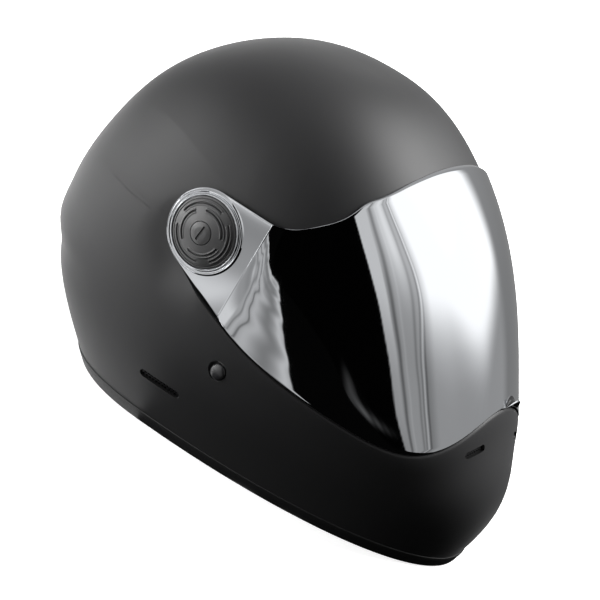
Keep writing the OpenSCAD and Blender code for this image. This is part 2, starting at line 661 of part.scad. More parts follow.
module chin_foam() {
  cols = [for (a = [-chin_end:chin_end / 8:chin_end + 0.01]) a];
  shares = [0, 0.25, 0.5, 0.75, 1];
  function top(a) = min(port_low(a) - 4, jaw_z + 18);
  function row(t, d) = [for (a = cols) skin(a, mix(trim_h + 3, top(a), t), d)];
  color("#26272a") placed() difference() {
    slab([for (t = shares) row(t, foam_d)], [for (t = shares) row(t, foam_d - chin_foam_t)]);
    for (s = [0, 1]) mirror([s, 0, 0]) chin_vent_cut();
  }
}

// Cheek core: a foam block with a channel in its back that the strap runs down

cheek_from = 53;
cheek_to = 98;
core_low = 28;
core_t = 17;
core_in = foam_d - core_t;

function core_top(a) = min(port_low(min(abs(a), port_angle)) - 4, cheek_top_z);
function core_point(a, t, d) = skin(a, mix(core_low, core_top(a), t), d);

module cheek_core() {
  cols = [53, 58, 63, 67.5, 71.5, 75, 77, 79.5, 82.5, 86, 89, 92, 95, 98];
  shares = [0, 0.15, 0.31, 0.47, 0.6, 0.7, 0.8, 0.9, 1];
  function row(t, d) = [for (a = cols) core_point(a, t, d)];
  wall_x = strap_x - web_t / 2 - washer_t - 1;
  channel = [[wall_x, strap_top + 1.5], [wall_x, rivet_z - washer_r - 2],
    [strap_at(core_low) - 3, core_low - 1], [half_w, core_low - 1], [half_w, strap_top + 1.5]];
  color("#26272a") difference() {
    slab([for (t = shares) row(t, foam_d)], [for (t = shares) row(t, core_in)]);
    across_strap(web_w + 3) polygon(channel);
  }
}

// Cushions: a flat back and a crowned, drawn-in face with sewn channels

// Height of a crown over a field from -1 to 1 both ways
function crowned(u, v) = pow(max(1 - pow(abs(u), 4), 0), 0.45) * pow(max(1 - pow(abs(v), 4), 0), 0.45);
function channel(x, at, width) = exp(-pow((x - at) / width, 2));

module cheek_pad() {
  back = core_in - pad_gap;
  steps = 18;
  function spot(i, j) =
    let (u = -1 + 2 * i / steps, v = -1 + 2 * j / steps, b = pow_sign(u, 0.8), c = pow_sign(v, 0.8))
    [mix(mix(cheek_from, cheek_to, 0.06), mix(cheek_from, cheek_to, 0.94), (b + 1) / 2),
      mix(0.04, 0.96, (c + 1) / 2), b, c];
  function face(s) =
    back - 1 - (cheek_t - 1) * crowned(s[2], s[3])
      * (1 - 0.22 * channel(s[3], 0.28 * s[2], 0.07) - 0.2 * channel(s[2], -0.35, 0.05));
  outer = [for (j = [0:steps]) [for (i = [0:steps]) let (s = spot(i, j)) core_point(s[0], s[1], back)]];
  inner = [for (j = [0:steps]) [for (i = [0:steps]) let (s = spot(i, j)) core_point(s[0], s[1], face(s))]];
  color("#17181a") slab(outer, inner);
}

module crown_pad() {
  back = foam_d - foam_t - pad_gap;
  low = shell_h * 0.74;
  n = 40;
  shares = [0, 0.12, 0.28, 0.46, 0.62, 0.76, 0.87, 0.95, 0.992];
  top = shell_h + back;
  function thick(a, t) =
    1 + (crown_pad_t - 1) * pow(1 - pow(1 - min(t * 1.6, 1), 4), 0.6)
      * (1 - 0.45 * exp(-pow(sin(a * 2.5 + 45) / 0.3, 2)) * ease(0, 0.3, t) * (1 - ease(0.6, 1, t)));
  function row(t, in) = [for (c = [0:n - 1]) let (a = -180 + 360 * (c + 1) / n, d = back - in * thick(a, t))
    lining(a, mix(low, shell_h + d, t), d)];
  color("#17181a") placed() dome([for (t = shares) row(t, 0)], [for (t = shares) row(t, 1)],
    [0, 0, top], [0, 0, top - thick(0, 1)]);
}

module neck_roll() {
  back = foam_d - soft_gap;
  across = 22;
  up = 12;
  function face(u, v) = back - 1.5 - (neck_t - 1.5) * crowned(u, v) * (1 - 0.25 * channel(abs(u), 0.34, 0.06));
  function grid(flat) = [for (j = [0:up]) [for (i = [0:across])
    let (u = -1 + 2 * i / across, v = -1 + 2 * j / up,
      p = skin(abs(180 + 62 * u) > 180 ? 180 - 62 * u : 180 + 62 * u,
        mix(trim_h + 4, nape_z - 2, (pow_sign(v, 0.8) + 1) / 2), flat ? back : face(u, v)))
    [u > 0 ? -p[0] : p[0], p[1], p[2]]]];
  color("#17181a") placed() slab(grid(true), grid(false));
}

// Chin straps: webbing down behind each cheek and in under it

// The strap leaves the wall at its foot, and hangs from there in under the cheek
foot_z = 26;
strap_foot = strap_at(foot_z);
function wall_path(n) =
  let (z0 = rivet_z - washer_r - 1)
  concat([[strap_x, strap_top]], [for (i = [0:n]) let (z = mix(z0, foot_z, i / n)) [strap_at(z), z]]);
// Points of the hanging stretch: shares of the way in from the foot to its end, with their heights
function hanging(p, end_x) = [for (s = p) [mix(strap_foot, end_x, s[0]), s[1]]];
// Outline of a band of even thickness along a list of points in the X and Z plane
function normal_at(p, i) =
  let (a = p[max(i - 1, 0)], b = p[min(i + 1, len(p) - 1)], d = b - a) [-d[1], d[0]] / norm(d);
function ribbon(p, t) = concat([for (i = [0:len(p) - 1]) p[i] + normal_at(p, i) * t / 2],
  [for (i = [len(p) - 1:-1:0]) p[i] - normal_at(p, i) * t / 2]);

ring_z = 24;
ring_x = 44;
ring_pitch = 2 * ring_wire + 0.4;
loop_r = ring_wire + 0.12;

// An outline in the X and Z plane, run across the strap's width
module across_strap(w) {
  translate([0, -rivet_fwd, 0]) rotate([90, 0, 0]) translate([0, 0, -w / 2]) linear_extrude(w) children();
}
module rivet_hole() { along_x(strap_x - 10, rivet_fwd, rivet_z) cylinder(r = screw_r - 0.3, h = 20); }

// The loop that holds both rings, at radius r round their bars
module loop_outline(r) { translate([ring_x + ring_pitch / 2, ring_z]) slot(ring_pitch + 2 * r, 2 * r); }

module strap_left() {
  path = concat(wall_path(5),
    hanging([[0.185, 16], [0.433, 13.5], [0.723, 17], [0.93, 21.5], [1, ring_z]], ring_x + ring_pitch + 1));
  color("#1a1a1b") placed() difference() {
    union() {
      across_strap(web_w) polygon(ribbon(path, web_t));
      across_strap(web_w) loop_outline(loop_r + web_t);
    }
    across_strap(web_w + 2) loop_outline(loop_r);
    rivet_hole();
  }
}

module strap_right() {
  end_x = 14;
  end_z = 6;
  path = concat(wall_path(5), hanging([[0.108, 16], [0.252, 12], [0.47, 9], [0.735, 7], [1, end_z]], end_x));
  color("#1a1a1b") placed() mirror([1, 0, 0]) difference() {
    union() {
      across_strap(web_w) polygon(ribbon(path, web_t));
      across_strap(web_w) translate([end_x, end_z]) circle(web_t * 0.9);
    }
    rivet_hole();
  }
}

// A ring of the strap: a straight bar in the webbing's loop and a half round that hangs from it
module strap_ring(x) {
  bow = web_w / 2 + 2 * ring_wire;
  color("#a9adb2") placed() translate([x, -rivet_fwd, ring_z]) {
    rotate([90, 0, 0]) cylinder(r = ring_wire, h = 2 * bow, center = true);
    rotate([0, 90, 0]) rotate([0, 0, -90]) rotate_extrude(angle = 180) translate([bow, 0]) circle(ring_wire);
    for (s = [-1, 1]) translate([0, s * bow, 0]) sphere(ring_wire);
  }
}

outer_shell();
bottom_trim();
eyeport_seal();
visor();
on_side(1) pivot_hub();  // pivot_hub_left
on_side(-1) pivot_hub();  // pivot_hub_right
on_side(1) pivot_nut();  // pivot_nut_left
on_side(-1) pivot_nut();  // pivot_nut_right
on_side(1) dial();  // dial_left
on_side(-1) dial();  // dial_right
on_side(1) dial_screw();  // dial_screw_left
on_side(-1) dial_screw();  // dial_screw_right
on_side(1) strap_rivet();  // strap_rivet_left
on_side(-1) strap_rivet();  // strap_rivet_right
on_side(1) rivet_washer();  // rivet_washer_left
on_side(-1) rivet_washer();  // rivet_washer_right
on_side(1) side_vent_mesh();  // side_vent_mesh_left
on_side(-1) side_vent_mesh();  // side_vent_mesh_right
on_side(1) chin_vent_mesh();  // chin_vent_mesh_left
on_side(-1) chin_vent_mesh();  // chin_vent_mesh_right
crown_foam();
chin_foam();
on_side(1) cheek_core();  // cheek_core_left
on_side(-1) cheek_core();  // cheek_core_right
on_side(1) cheek_pad();  // cheek_pad_left
on_side(-1) cheek_pad();  // cheek_pad_right
crown_pad();
neck_roll();
strap_left();
strap_right();
strap_ring(ring_x);  // strap_ring_inner
strap_ring(ring_x + ring_pitch);  // strap_ring_outer
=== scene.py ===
import math
import bmesh
import bpy
import numpy as np
from mathutils import Matrix, Vector


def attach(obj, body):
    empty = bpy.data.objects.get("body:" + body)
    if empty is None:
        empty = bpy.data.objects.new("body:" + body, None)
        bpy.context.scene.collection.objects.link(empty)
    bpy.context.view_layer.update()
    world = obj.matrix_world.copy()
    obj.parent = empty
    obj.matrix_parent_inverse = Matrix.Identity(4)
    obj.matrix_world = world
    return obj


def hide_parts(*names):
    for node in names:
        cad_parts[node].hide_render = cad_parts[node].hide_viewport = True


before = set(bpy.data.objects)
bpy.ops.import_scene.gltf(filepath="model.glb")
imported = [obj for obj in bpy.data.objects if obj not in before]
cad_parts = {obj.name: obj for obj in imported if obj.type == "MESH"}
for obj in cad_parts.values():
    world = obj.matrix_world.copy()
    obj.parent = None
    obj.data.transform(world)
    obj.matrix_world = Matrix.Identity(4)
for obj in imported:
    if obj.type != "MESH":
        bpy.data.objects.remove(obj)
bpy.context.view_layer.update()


# Outer shell
# One moulded shell of fibre and resin, 3 mm thick, sprayed in soft-touch matte black. It carries
# everything else: the pivots in two sunk seats, the foam inside and the rubber on its rim. Sizes are
# in millimetres, and angles in degrees round from the chin, to the wearer's left where positive.

SHELL_H, HALF_W, CHIN_REACH, BACK_REACH, SHELL_T = 258, 122, 211, 147, 3
CROWN_POWER, FRONT_POWER, BACK_POWER, PORT_POWER = 2.7, 2.1, 2.3, 6
EDGE_Z, LIP_H, LIP_FADE, LIP_R, LIP_R_AT_EAR = 2.6, 2.6, 16, 1.8, 0.5
RIDGE_H, RIDGE_Z, RIDGE_FROM_TO, EAR_FROM_TO = 2, 84, (112, 142), (84, 96)
PIVOT_Z, PIVOT_FWD, SEAT_SINK, EAR_R = 146, -1, 2.6, 28
BROW_RISE, JAW_DROP, PEAK_RISE, PEAK_ANGLE, CHEEK_ANGLE, CHEEK_POWER = 87, 68.5, 35, 42, 44, 1.6
PORT_LAP, EDGE_GAP, VISOR_T, VISOR_GAP = 7, 1, 2.2, 0.8
EAR_ANGLE, PORT_ANGLE, JAW_SLOPE, PORT_MM_PER_DEGREE = 80, 77, 0.41, 2.4
WIDTH_FORM = (0.74, 0.98, 1.03, 1.09, 1.16, 1.2)
FRONT_FORM = (0.95, 1.04, 0.915, 0.835, 0.745, 0.59)
BACK_FORM = (0.605, 0.93, 1.06, 1.035, 1.035, 0.91)
BROW_FORM = np.array([[0, 1], [12, 0.983], [24, 0.925], [36, 0.814], [48, 0.636], [60, 0.43],
                      [68, 0.212], [74, 0.035], [80, 0]])


def ease(a, b, x):
    """A smooth step: t is x's share of the way from a to b, held in 0 to 1, and it gives 3 t^2 - 2 t^3."""
    t = np.clip((np.asarray(x, float) - a) / (b - a), 0, 1)
    return t * t * (3 - 2 * t)


def mix(a, b, t):
    """The value at a share t of the way from a to b."""
    return a + (b - a) * t


def spline(form, u):
    """A uniform cubic B-spline over six shares, with its ends run out straight, read at 0 <= u <= 5."""
    e = np.concatenate([[2 * form[0] - form[1]], form, [2 * form[5] - form[4]]])
    v = np.clip(u, 0, 4.999999)
    i = np.floor(v).astype(int)
    t = v - i
    return ((1 - t) ** 3 * e[i] + (3 * t ** 3 - 6 * t ** 2 + 4) * e[i + 1]
            + (-3 * t ** 3 + 3 * t ** 2 + 3 * t + 1) * e[i + 2] + t ** 3 * e[i + 3]) / 6


def reach(form, size, z, d):
    """How far a skin d outside the loft reaches at height z: the form's share of the size, plus d,
    times (1 - s^p)^(1/p), where s is z's share of the crown's height and p the crown's power."""
    s = np.clip(z / (SHELL_H + d), 0, 0.999995)
    return (spline(form, 5 * s) * size + d) * (1 - s ** CROWN_POWER) ** (1 / CROWN_POWER)


def plan_power(c):
    """The plan's power, which is one in front of the pivot line and another behind it."""
    return np.where(c >= 0, FRONT_POWER, BACK_POWER)


def forward_reach(c, z, d):
    """The reach forwards where c is positive, and backwards where it is negative."""
    return np.where(c >= 0, reach(FRONT_FORM, CHIN_REACH, z, d), reach(BACK_FORM, BACK_REACH, z, d))


def column(a, z, d):
    """Distance in front of the pivot line of the column at angle a: the reach times cos(a)^(2/n).
    Beside the ears the reach is held at the pivot's height, so that the column stands upright."""
    c = np.cos(np.radians(a))
    upright = (ease(50, 75, np.abs(a)) * (1 - ease(100, 125, np.abs(a)))
               * (1 - ease(0.74, 0.9, z / (SHELL_H + d))))
    held = mix(forward_reach(c, z, d), forward_reach(c, PIVOT_Z, 0), upright)
    return np.sign(c) * np.abs(c) ** (2 / plan_power(c)) * held


def side(f, z, d):
    """Half width of the skin at distance f in front: w (1 - |f / reach|^n)^(1/n)."""
    n = plan_power(f)
    r = np.maximum(forward_reach(f, z, d), 0.001)
    return reach(WIDTH_FORM, HALF_W, z, d) * (1 - np.minimum(np.abs(f) / r, 1) ** n) ** (1 / n)


def angle_at(f):
    """The column that stands f in front of the pivot line, by turning column() round."""
    n = plan_power(f)
    q = np.minimum((np.abs(f) / forward_reach(f, PIVOT_Z, 0)) ** (n / 2), 1)
    return np.degrees(np.arccos(np.where(f >= 0, q, -q)))


def brow_share(b):
    """A cubic through BROW_FORM's points, whose slope at each is that between its two neighbours."""
    x, y = BROW_FORM.T
    slope = np.zeros(len(x))
    slope[1:-1] = (y[2:] - y[:-2]) / (x[2:] - x[:-2])
    i = np.clip(np.searchsorted(x, b, side="right") - 1, 0, len(x) - 2)
    h = x[i + 1] - x[i]
    t = (b - x[i]) / h
    return ((2 * t ** 3 - 3 * t * t + 1) * y[i] + (t ** 3 - 2 * t * t + t) * h * slope[i]
            + (3 * t * t - 2 * t ** 3) * y[i + 1] + (t ** 3 - t * t) * h * slope[i + 1])


SEAT_X = float(side(PIVOT_FWD, PIVOT_Z, 0)) - SEAT_SINK
TILT = math.atan(JAW_SLOPE)
TANGENT_F = PIVOT_FWD - EAR_R * math.sin(TILT)
TANGENT_Z = PIVOT_Z - EAR_R * math.cos(TILT)
JAW_Z = PIVOT_Z - JAW_DROP
VISOR_OUT = VISOR_GAP + VISOR_T


def ear_half(f):
    """Half the height of the round ear at distance f in front of the pivot line."""
    return np.sqrt(np.maximum(EAR_R ** 2 - (f - PIVOT_FWD) ** 2, 0))


def brow_z(a):
    """Height of the visor's upper edge: the brow's curve in front, level over the ear, then its circle."""
    b = np.abs(a)
    f = column(b, PIVOT_Z, 0)
    ear = PIVOT_Z + np.where(f > PIVOT_FWD, EAR_R, ear_half(f))
    brow = PIVOT_Z + EAR_R + (BROW_RISE - EAR_R) * brow_share(np.minimum(b, EAR_ANGLE))
    return np.where(b < EAR_ANGLE, brow, ear)


def jaw_side(f):
    """The visor's lower edge beside the ear: a line that meets the ear's circle where they touch."""
    return np.where(f > TANGENT_F, TANGENT_Z - JAW_SLOPE * (f - TANGENT_F), PIVOT_Z - ear_half(f))


def jaw_line(a):
    """Height of the visor's lower edge: a raised cosine peak over the chin, a stretch that rises as a
    power towards the ear, and then a straight line into the ear's circle."""
    b = np.abs(a)
    peak = JAW_Z + PEAK_RISE * (0.5 + 0.5 * np.cos(math.pi * np.minimum(b, PEAK_ANGLE) / PEAK_ANGLE))
    start = jaw_side(column(EAR_ANGLE, PIVOT_Z, 0))
    share = np.maximum(b - CHEEK_ANGLE, 0) / (EAR_ANGLE - CHEEK_ANGLE)
    cheek = JAW_Z + (start - JAW_Z) * share ** CHEEK_POWER
    return np.where(b < PEAK_ANGLE, peak, np.where(b < EAR_ANGLE, cheek, jaw_side(column(b, PIVOT_Z, 0))))


def port_edge(a, which, inset=0):
    """Height of the eye port's upper (1) or lower (-1) edge: a superellipse that runs between the
    visor's edges, less the lap and an inset."""
    b = np.minimum(np.abs(a), PORT_ANGLE)
    top, low = brow_z(b), jaw_line(b)
    q = np.minimum(np.abs(a) / (PORT_ANGLE - inset / PORT_MM_PER_DEGREE), 1)
    half_height = np.maximum((top - low) / 2 - PORT_LAP - inset, 0)
    return (top + low) / 2 + which * half_height * (1 - q ** PORT_POWER) ** (1 / PORT_POWER)


def ridge(a, z):
    """The soft ridge round the back: one bell curve of height, less a lower one under it."""
    bells = np.exp(-((z - RIDGE_Z) / 12) ** 2) - 0.7 * np.exp(-((z - RIDGE_Z + 16) / 8) ** 2)
    return ease(*RIDGE_FROM_TO, np.abs(a)) * RIDGE_H * bells


def skin(a, z, d, below=0, out=0):
    """Points of the shell's skin d outside the loft, in millimetres. below is 1 under the visor's lower
    edge, where the lip stands out by a bell curve. Round the pivot the skin is cut flat at the seat."""
    a, z, d, below = np.broadcast_arrays(*(np.asarray(v, float) for v in (a, z, d, below)))
    past_ear = ease(*EAR_FROM_TO, np.abs(a))
    lip = LIP_H * (1 - past_ear) * np.exp(-((jaw_line(a) - EDGE_GAP - z) / LIP_FADE) ** 2)
    e = d + ridge(a, z) + below * out * lip
    f = column(a, z, e)
    s = side(f, z, e)
    r = np.hypot(f - PIVOT_FWD, z - PIVOT_Z)
    soft, wide = 1 - ease(EAR_R + 2, EAR_R + 30, r), 1 - ease(EAR_R + 27, EAR_R + 34, r)
    dish = np.where(below == 1, past_ear * soft, mix(soft, wide, ease(-12, 12, f - PIVOT_FWD)))
    x = s - dish * np.maximum(s - SEAT_X - d, 0)
    return np.stack([x * np.where(a < 0, -1, 1), MIDDLE - f, z], axis=-1)


# The pivot line stands this far behind the middle of the shell's length, which is where the frame has
# its origin, so it is measured with the pivot line at 0 and then set.
MIDDLE = 0.0
heights = np.arange(20, 121, 4.0)
foremost = -skin(0, heights, 0, heights < jaw_line(0), 1)[:, 1].min()
hindmost = skin(180, heights, 0)[:, 1].max()
MIDDLE = float(foremost - hindmost) / 2

# The columns that every grid round the shell has, closer where the port and the ears end.
HALF_TURN = np.concatenate([
    np.arange(0, 71, 1.5), [71.5, 72.7, 73.7, 74.5, 75.2, 75.8, 76.2, 76.55, 76.8, 76.94, 77],
    np.arange(78, 104, 1.3), np.arange(105, 181, 1.5)])
ROUND = np.concatenate([-HALF_TURN[-2:0:-1], HALF_TURN])


def quads(index, wrap=False, flip=False, keep=None):
    """Four-sided faces between the neighbouring rows and columns of a grid of vertex numbers."""
    if wrap:
        index = np.concatenate([index, index[:, :1]], axis=1)
    corners = [index[:-1, :-1], index[1:, :-1], index[1:, 1:], index[:-1, 1:]]
    faces = np.stack(corners[::-1] if flip else corners, axis=-1)
    if keep is not None:
        faces = faces[:, keep]
    return faces.reshape(-1, 4).tolist()


def numbers(points):
    """The vertex numbers of a grid of points, in the grid's own rows and columns."""
    return np.arange(math.prod(points.shape[:2])).reshape(points.shape[:2])


def capped(index):
    """Faces of a closed section carried along a path: round it, and one over each end."""
    return quads(index, True) + [index[0].tolist(), index[-1][::-1].tolist()]


def fan(ring, tip, flip=False):
    """Triangles from a closed ring of vertex numbers to one tip."""
    after, tips = np.roll(ring, -1), np.full_like(ring, tip)
    return np.stack([after, ring, tips] if flip else [ring, after, tips], -1).tolist()


def new_piece(name, points, faces, sharp=35, marks=None, slots=None):
    """A mesh object from points in millimetres, welded, with its faces turned outwards and smooth
    except over edges of more than sharp degrees. marks are values kept on its points, by name, and
    slots are its faces' material slots."""
    mesh = bpy.data.meshes.new(name)
    mesh.from_pydata((np.asarray(points, float).reshape(-1, 3) / 1000).tolist(), [], faces)
    for key, values in (marks or {}).items():
        mesh.attributes.new(key, "FLOAT", "POINT").data.foreach_set("value", np.ravel(values))
    if slots is not None:
        mesh.polygons.foreach_set("material_index", slots.astype(np.int32))
    bm = bmesh.new()
    bm.from_mesh(mesh)
    bmesh.ops.remove_doubles(bm, verts=bm.verts, dist=2e-6)
    bmesh.ops.dissolve_degenerate(bm, dist=1e-7, edges=bm.edges)
    bmesh.ops.recalc_face_normals(bm, faces=bm.faces)
    bm.to_mesh(mesh)
    bm.free()
    smooth(mesh, sharp)
    piece = bpy.data.objects.new(name, mesh)
    bpy.context.scene.collection.objects.link(piece)
    return piece


def smooth(mesh, sharp):
    """Shades a mesh smooth, except over edges of more than sharp degrees."""
    mesh.polygons.foreach_set("use_smooth", np.ones(len(mesh.polygons), bool))
    mesh.set_sharp_from_angle(angle=math.radians(sharp))


def baked(piece):
    """The mesh that a piece's modifiers give."""
    return bpy.data.meshes.new_from_object(piece.evaluated_get(bpy.context.evaluated_depsgraph_get()))


def cut(piece, cutters, sharp=35):
    """Takes each cutter out of a piece, and removes the cutters."""
    for cutter in cutters:
        step = piece.modifiers.new("cut", "BOOLEAN")
        step.object, step.operation, step.solver = cutter, "DIFFERENCE", "MANIFOLD"
    finished = baked(piece)
    piece.modifiers.clear()
    finished.materials.clear()
    piece.data = finished
    smooth(finished, sharp)
    for cutter in cutters:
        bpy.data.objects.remove(cutter)
    return piece


def shell_points():
    """The shell's four grids of points: outside and inside, below and above the eye port. The outside
    ends below the visor in a lip that turns in over a quarter of a circle, and fades out past the ear."""
    low_edge = jaw_line(ROUND) - EDGE_GAP
    t = 1 - (1 - np.linspace(0, 1, 34)) ** 1.3
    turn = np.radians([0, 15, 30, 45, 60, 75, 90])
    r = mix(LIP_R, LIP_R_AT_EAR, ease(60, EAR_ANGLE, np.abs(ROUND)))
    z = [mix(EDGE_Z, low_edge - r, s) for s in t[:-1]] + [low_edge - r + r * math.sin(v) for v in turn]
    beside_visor = 1 - ease(*EAR_FROM_TO, np.abs(ROUND))
    d = [0 * ROUND] * (len(t) - 1) + [-r * beside_visor * (1 - math.cos(v)) for v in turn]
    below = [1] * len(z)
    for s in np.linspace(0, 1, 7):
        z.append(mix(low_edge + 0.1, port_edge(ROUND, -1), s))
        d.append(0 * ROUND)
        below.append(0)
    z, d, below = np.array(z), np.array(d), np.repeat(np.array(below)[:, None], len(ROUND), axis=1)
    up = 1 - (1 - np.linspace(0, 1, 62)[:-1]) ** 2.1
    top = port_edge(ROUND, 1)
    high = [skin(ROUND[None], mix(top[None], SHELL_H + depth, up[:, None]), depth) for depth in (0, -SHELL_T)]
    return (skin(ROUND[None], z, d, below, 1), high[0],
            skin(ROUND[None], z, 0 * d - SHELL_T, below, 0), high[1])


def shell_faces(grids):
    """Faces over the four grids, round the rim, round the port's edge and over the two crowns."""
    index, start = [], 0
    for grid in grids:
        index.append(start + numbers(grid))
        start += index[-1].size
    low_out, high_out, low_in, high_in = index
    is_open = np.abs(ROUND) < PORT_ANGLE - 0.001
    port = is_open | np.roll(is_open, -1)
    faces = quads(low_out, True) + quads(high_out, True)
    faces += quads(low_in, True, True) + quads(high_in, True, True)
    faces += quads(np.stack([low_in[0], low_out[0]]), True)
    faces += quads(np.stack([low_out[-1], low_in[-1]]), True, keep=port)
    faces += quads(np.stack([high_in[0], high_out[0]]), True, keep=port)
    return faces + fan(high_out[-1], start) + fan(high_in[-1], start + 1, True)


def stadium(length, height, n=10):
    """Outline of a slot: two half circles of n steps with straight sides between."""
    turn = np.linspace(-90, 90, n + 1)
    right = np.stack([np.cos(np.radians(turn)), np.sin(np.radians(turn))], -1) * height / 2
    right[:, 0] += (length - height) / 2
    return np.concatenate([right, -right])


def skin_frame(a, z, d=0):
    """The place, and the directions round, up and out, of the skin at angle a and height z."""
    at, tiny = skin(a, z, d, 1), 0.5
    round_way = skin(a + tiny, z, d, 1) - skin(a - tiny, z, d, 1)
    up_way = skin(a, z + tiny, d, 1) - skin(a, z - tiny, d, 1)
    out_way = np.cross(round_way, up_way)
    out_way, round_way = out_way / np.linalg.norm(out_way), round_way / np.linalg.norm(round_way)
    return at, round_way, np.cross(out_way, round_way), out_way


def prism(name, outline, sections, axes, sharp=35):
    """An outline swept through sections of (depth, growth) along the third of four axes."""
    at, x_way, y_way, out_way = axes
    middle = outline / np.linalg.norm(outline, axis=1, keepdims=True)
    rings = np.stack([outline + grow * middle for _, grow in sections])
    depth = np.array([v for v, _ in sections])
    points = at + rings[..., :1] * x_way + rings[..., 1:] * y_way + depth[:, None, None] * out_way
    return new_piece(name, points, capped(numbers(points)), sharp)


# Each vent slot: its middle's angle round and height, its length, its width, and its tilt in degrees.
SIDE_VENT = (float(angle_at(np.array(9.0))), 38.5, 31, 5.4, 0.0)
CHIN_VENT = (14.2, float(jaw_line(14.2)) - 15.5, 17, 4, 22.0)
RIVET_FWD, RIVET_Z, RIVET_SINK, RIVET_SEAT_R, RIVET_HOLE_R, BOSS_HOLE_R = 45, 71, 1.2, 6.2, 3.2, 8.2
RIVET_SEAT = float(side(np.array(RIVET_FWD), RIVET_Z, 0)) - RIVET_SINK


def turned(axes, angle):
    """The same axes, turned by an angle in degrees about the way out."""
    at, x_way, y_way, out_way = axes
    c, s = math.cos(math.radians(angle)), math.sin(math.radians(angle))
    return at, c * x_way + s * y_way, c * y_way - s * x_way, out_way


def vent_axes(vent, hand):
    """Axes of a vent slot, mirrored where hand is -1, for the wearer's right."""
    axes = turned(skin_frame(vent[0], vent[1]), -vent[4])
    return [v * np.array([hand, 1, 1]) for v in axes]


def side_axes(x, fwd, z, hand):
    """Axes of a piece that looks out of the helmet's side at x, fwd in front of the pivot line."""
    return (np.array([hand * x, MIDDLE - fwd, z]), np.array([0, -1.0, 0]), np.array([0, 0, 1.0]),
            np.array([hand, 0, 0]))


def circle(r, n=96):
    """Outline of a circle of n points."""
    turn = np.linspace(0, 2 * math.pi, n, endpoint=False)
    return np.stack([np.cos(turn), np.sin(turn)], -1) * r


grids = shell_points()
tips = np.array([[0, MIDDLE, SHELL_H], [0, MIDDLE, SHELL_H - SHELL_T]])
shell = new_piece("shell", np.concatenate([g.reshape(-1, 3) for g in grids] + [tips]), shell_faces(grids))
pivot_axes = {hand: side_axes(SEAT_X, PIVOT_FWD, PIVOT_Z, hand) for hand in (1, -1)}
side_slot, chin_slot = stadium(*SIDE_VENT[2:4]), stadium(*CHIN_VENT[2:4])
cutters = []
for hand in (1, -1):
    rivet_axes = side_axes(RIVET_SEAT, RIVET_FWD, RIVET_Z, hand)
    for outline, sections, axes in (
            (side_slot, [(-12, 0), (-0.9, 0), (0.4, 1.1), (4, 1.1)], vent_axes(SIDE_VENT, hand)),
            (chin_slot, [(-30, 0), (-0.8, 0), (0.3, 0.9), (6, 0.9)], vent_axes(CHIN_VENT, hand)),
            (circle(RIVET_SEAT_R), [(0, 0), (1, 0.1), (3, 1.4), (8, 1.4)], rivet_axes),
            (circle(RIVET_HOLE_R, 32), [(-20, 0), (1, 0)], rivet_axes),
            (circle(BOSS_HOLE_R), [(-12, 0), (10, 0)], pivot_axes[hand])):
        cutters.append(prism("cut", outline, sections, axes))
cut(shell, cutters)


def linear(hex_colour):
    """An sRGB hex colour as linear RGBA: c / 12.92 up to 0.04045, and ((c + 0.055) / 1.055)^2.4 above."""
    c = [int(hex_colour[i:i + 2], 16) / 255 for i in (1, 3, 5)]
    return tuple(v / 12.92 if v <= 0.04045 else ((v + 0.055) / 1.055) ** 2.4 for v in c) + (1.0,)


def add(tree, kind, inputs=None, **settings):
    """Adds a node, sets its fields, and fills its inputs with values or with other nodes' outputs."""
    node = tree.nodes.new(kind)
    for key, value in settings.items():
        setattr(node, key, value)
    for key, value in (inputs or {}).items():
        if isinstance(value, bpy.types.NodeSocket):
            tree.links.new(value, node.inputs[key])
        else:
            node.inputs[key].default_value = value
    return node


def new_material(name, **values):
    """A material with one Principled shader, whose sockets are set by name."""
    material = bpy.data.materials.new(name)
    material.use_nodes = True
    tree = material.node_tree
    shader = tree.nodes["Principled BSDF"]
    for key, value in values.items():
        shader.inputs[key.replace("_", " ")].default_value = value
    return material, tree, shader


def grained(tree, shader, scale, strength, depth, **noise):
    """A fine relief over the whole piece: a noise on its own coordinates, at a scale per metre, drives a
    bump of a depth in metres. Gives the coordinates and the noise, for what else follows them."""
    place = add(tree, "ShaderNodeTexCoord").outputs["Object"]
    grain = add(tree, "ShaderNodeTexNoise", {"Vector": place, "Scale": scale, **noise}).outputs["Fac"]
    bump = add(tree, "ShaderNodeBump", {"Height": grain, "Strength": strength, "Distance": depth})
    tree.links.new(bump.outputs["Normal"], shader.inputs["Normal"])
    return place, grain


def face_values(mesh, field):
    """A field of every face of a mesh, its centre or its normal, as rows of three numbers."""
    flat = np.empty(3 * len(mesh.polygons))
    mesh.polygons.foreach_get(field, flat)
    return flat.reshape(-1, 3)


# Soft-touch polyurethane paint over the moulded shell: a very dark, dry black that still shows a wide,
# soft sheen where it turns away. Its grain is about 0.1 mm and is drawn at 0.5 mm so that it shows.
soft_paint, tree, shader = new_material("soft_touch_black_paint", Base_Color=linear("#1d1d1e"),
                                        Roughness=0.5, IOR=1.45, Specular_IOR_Level=0.35,
                                        Sheen_Weight=0.1, Sheen_Roughness=0.4)
place, _ = grained(tree, shader, 2000.0, 0.12, 0.0001, Detail=2.0, Roughness=0.6)
cloud = add(tree, "ShaderNodeTexNoise", {"Vector": place, "Scale": 28.0, "Detail": 3.0, "Roughness": 0.55})
gloss = add(tree, "ShaderNodeMapRange", {"Value": cloud.outputs["Fac"], "From Min": 0.3, "From Max": 0.7,
                                         "To Min": 0.49, "To Max": 0.52})
tree.links.new(gloss.outputs["Result"], shader.inputs["Roughness"])
shell.data.materials.append(soft_paint)

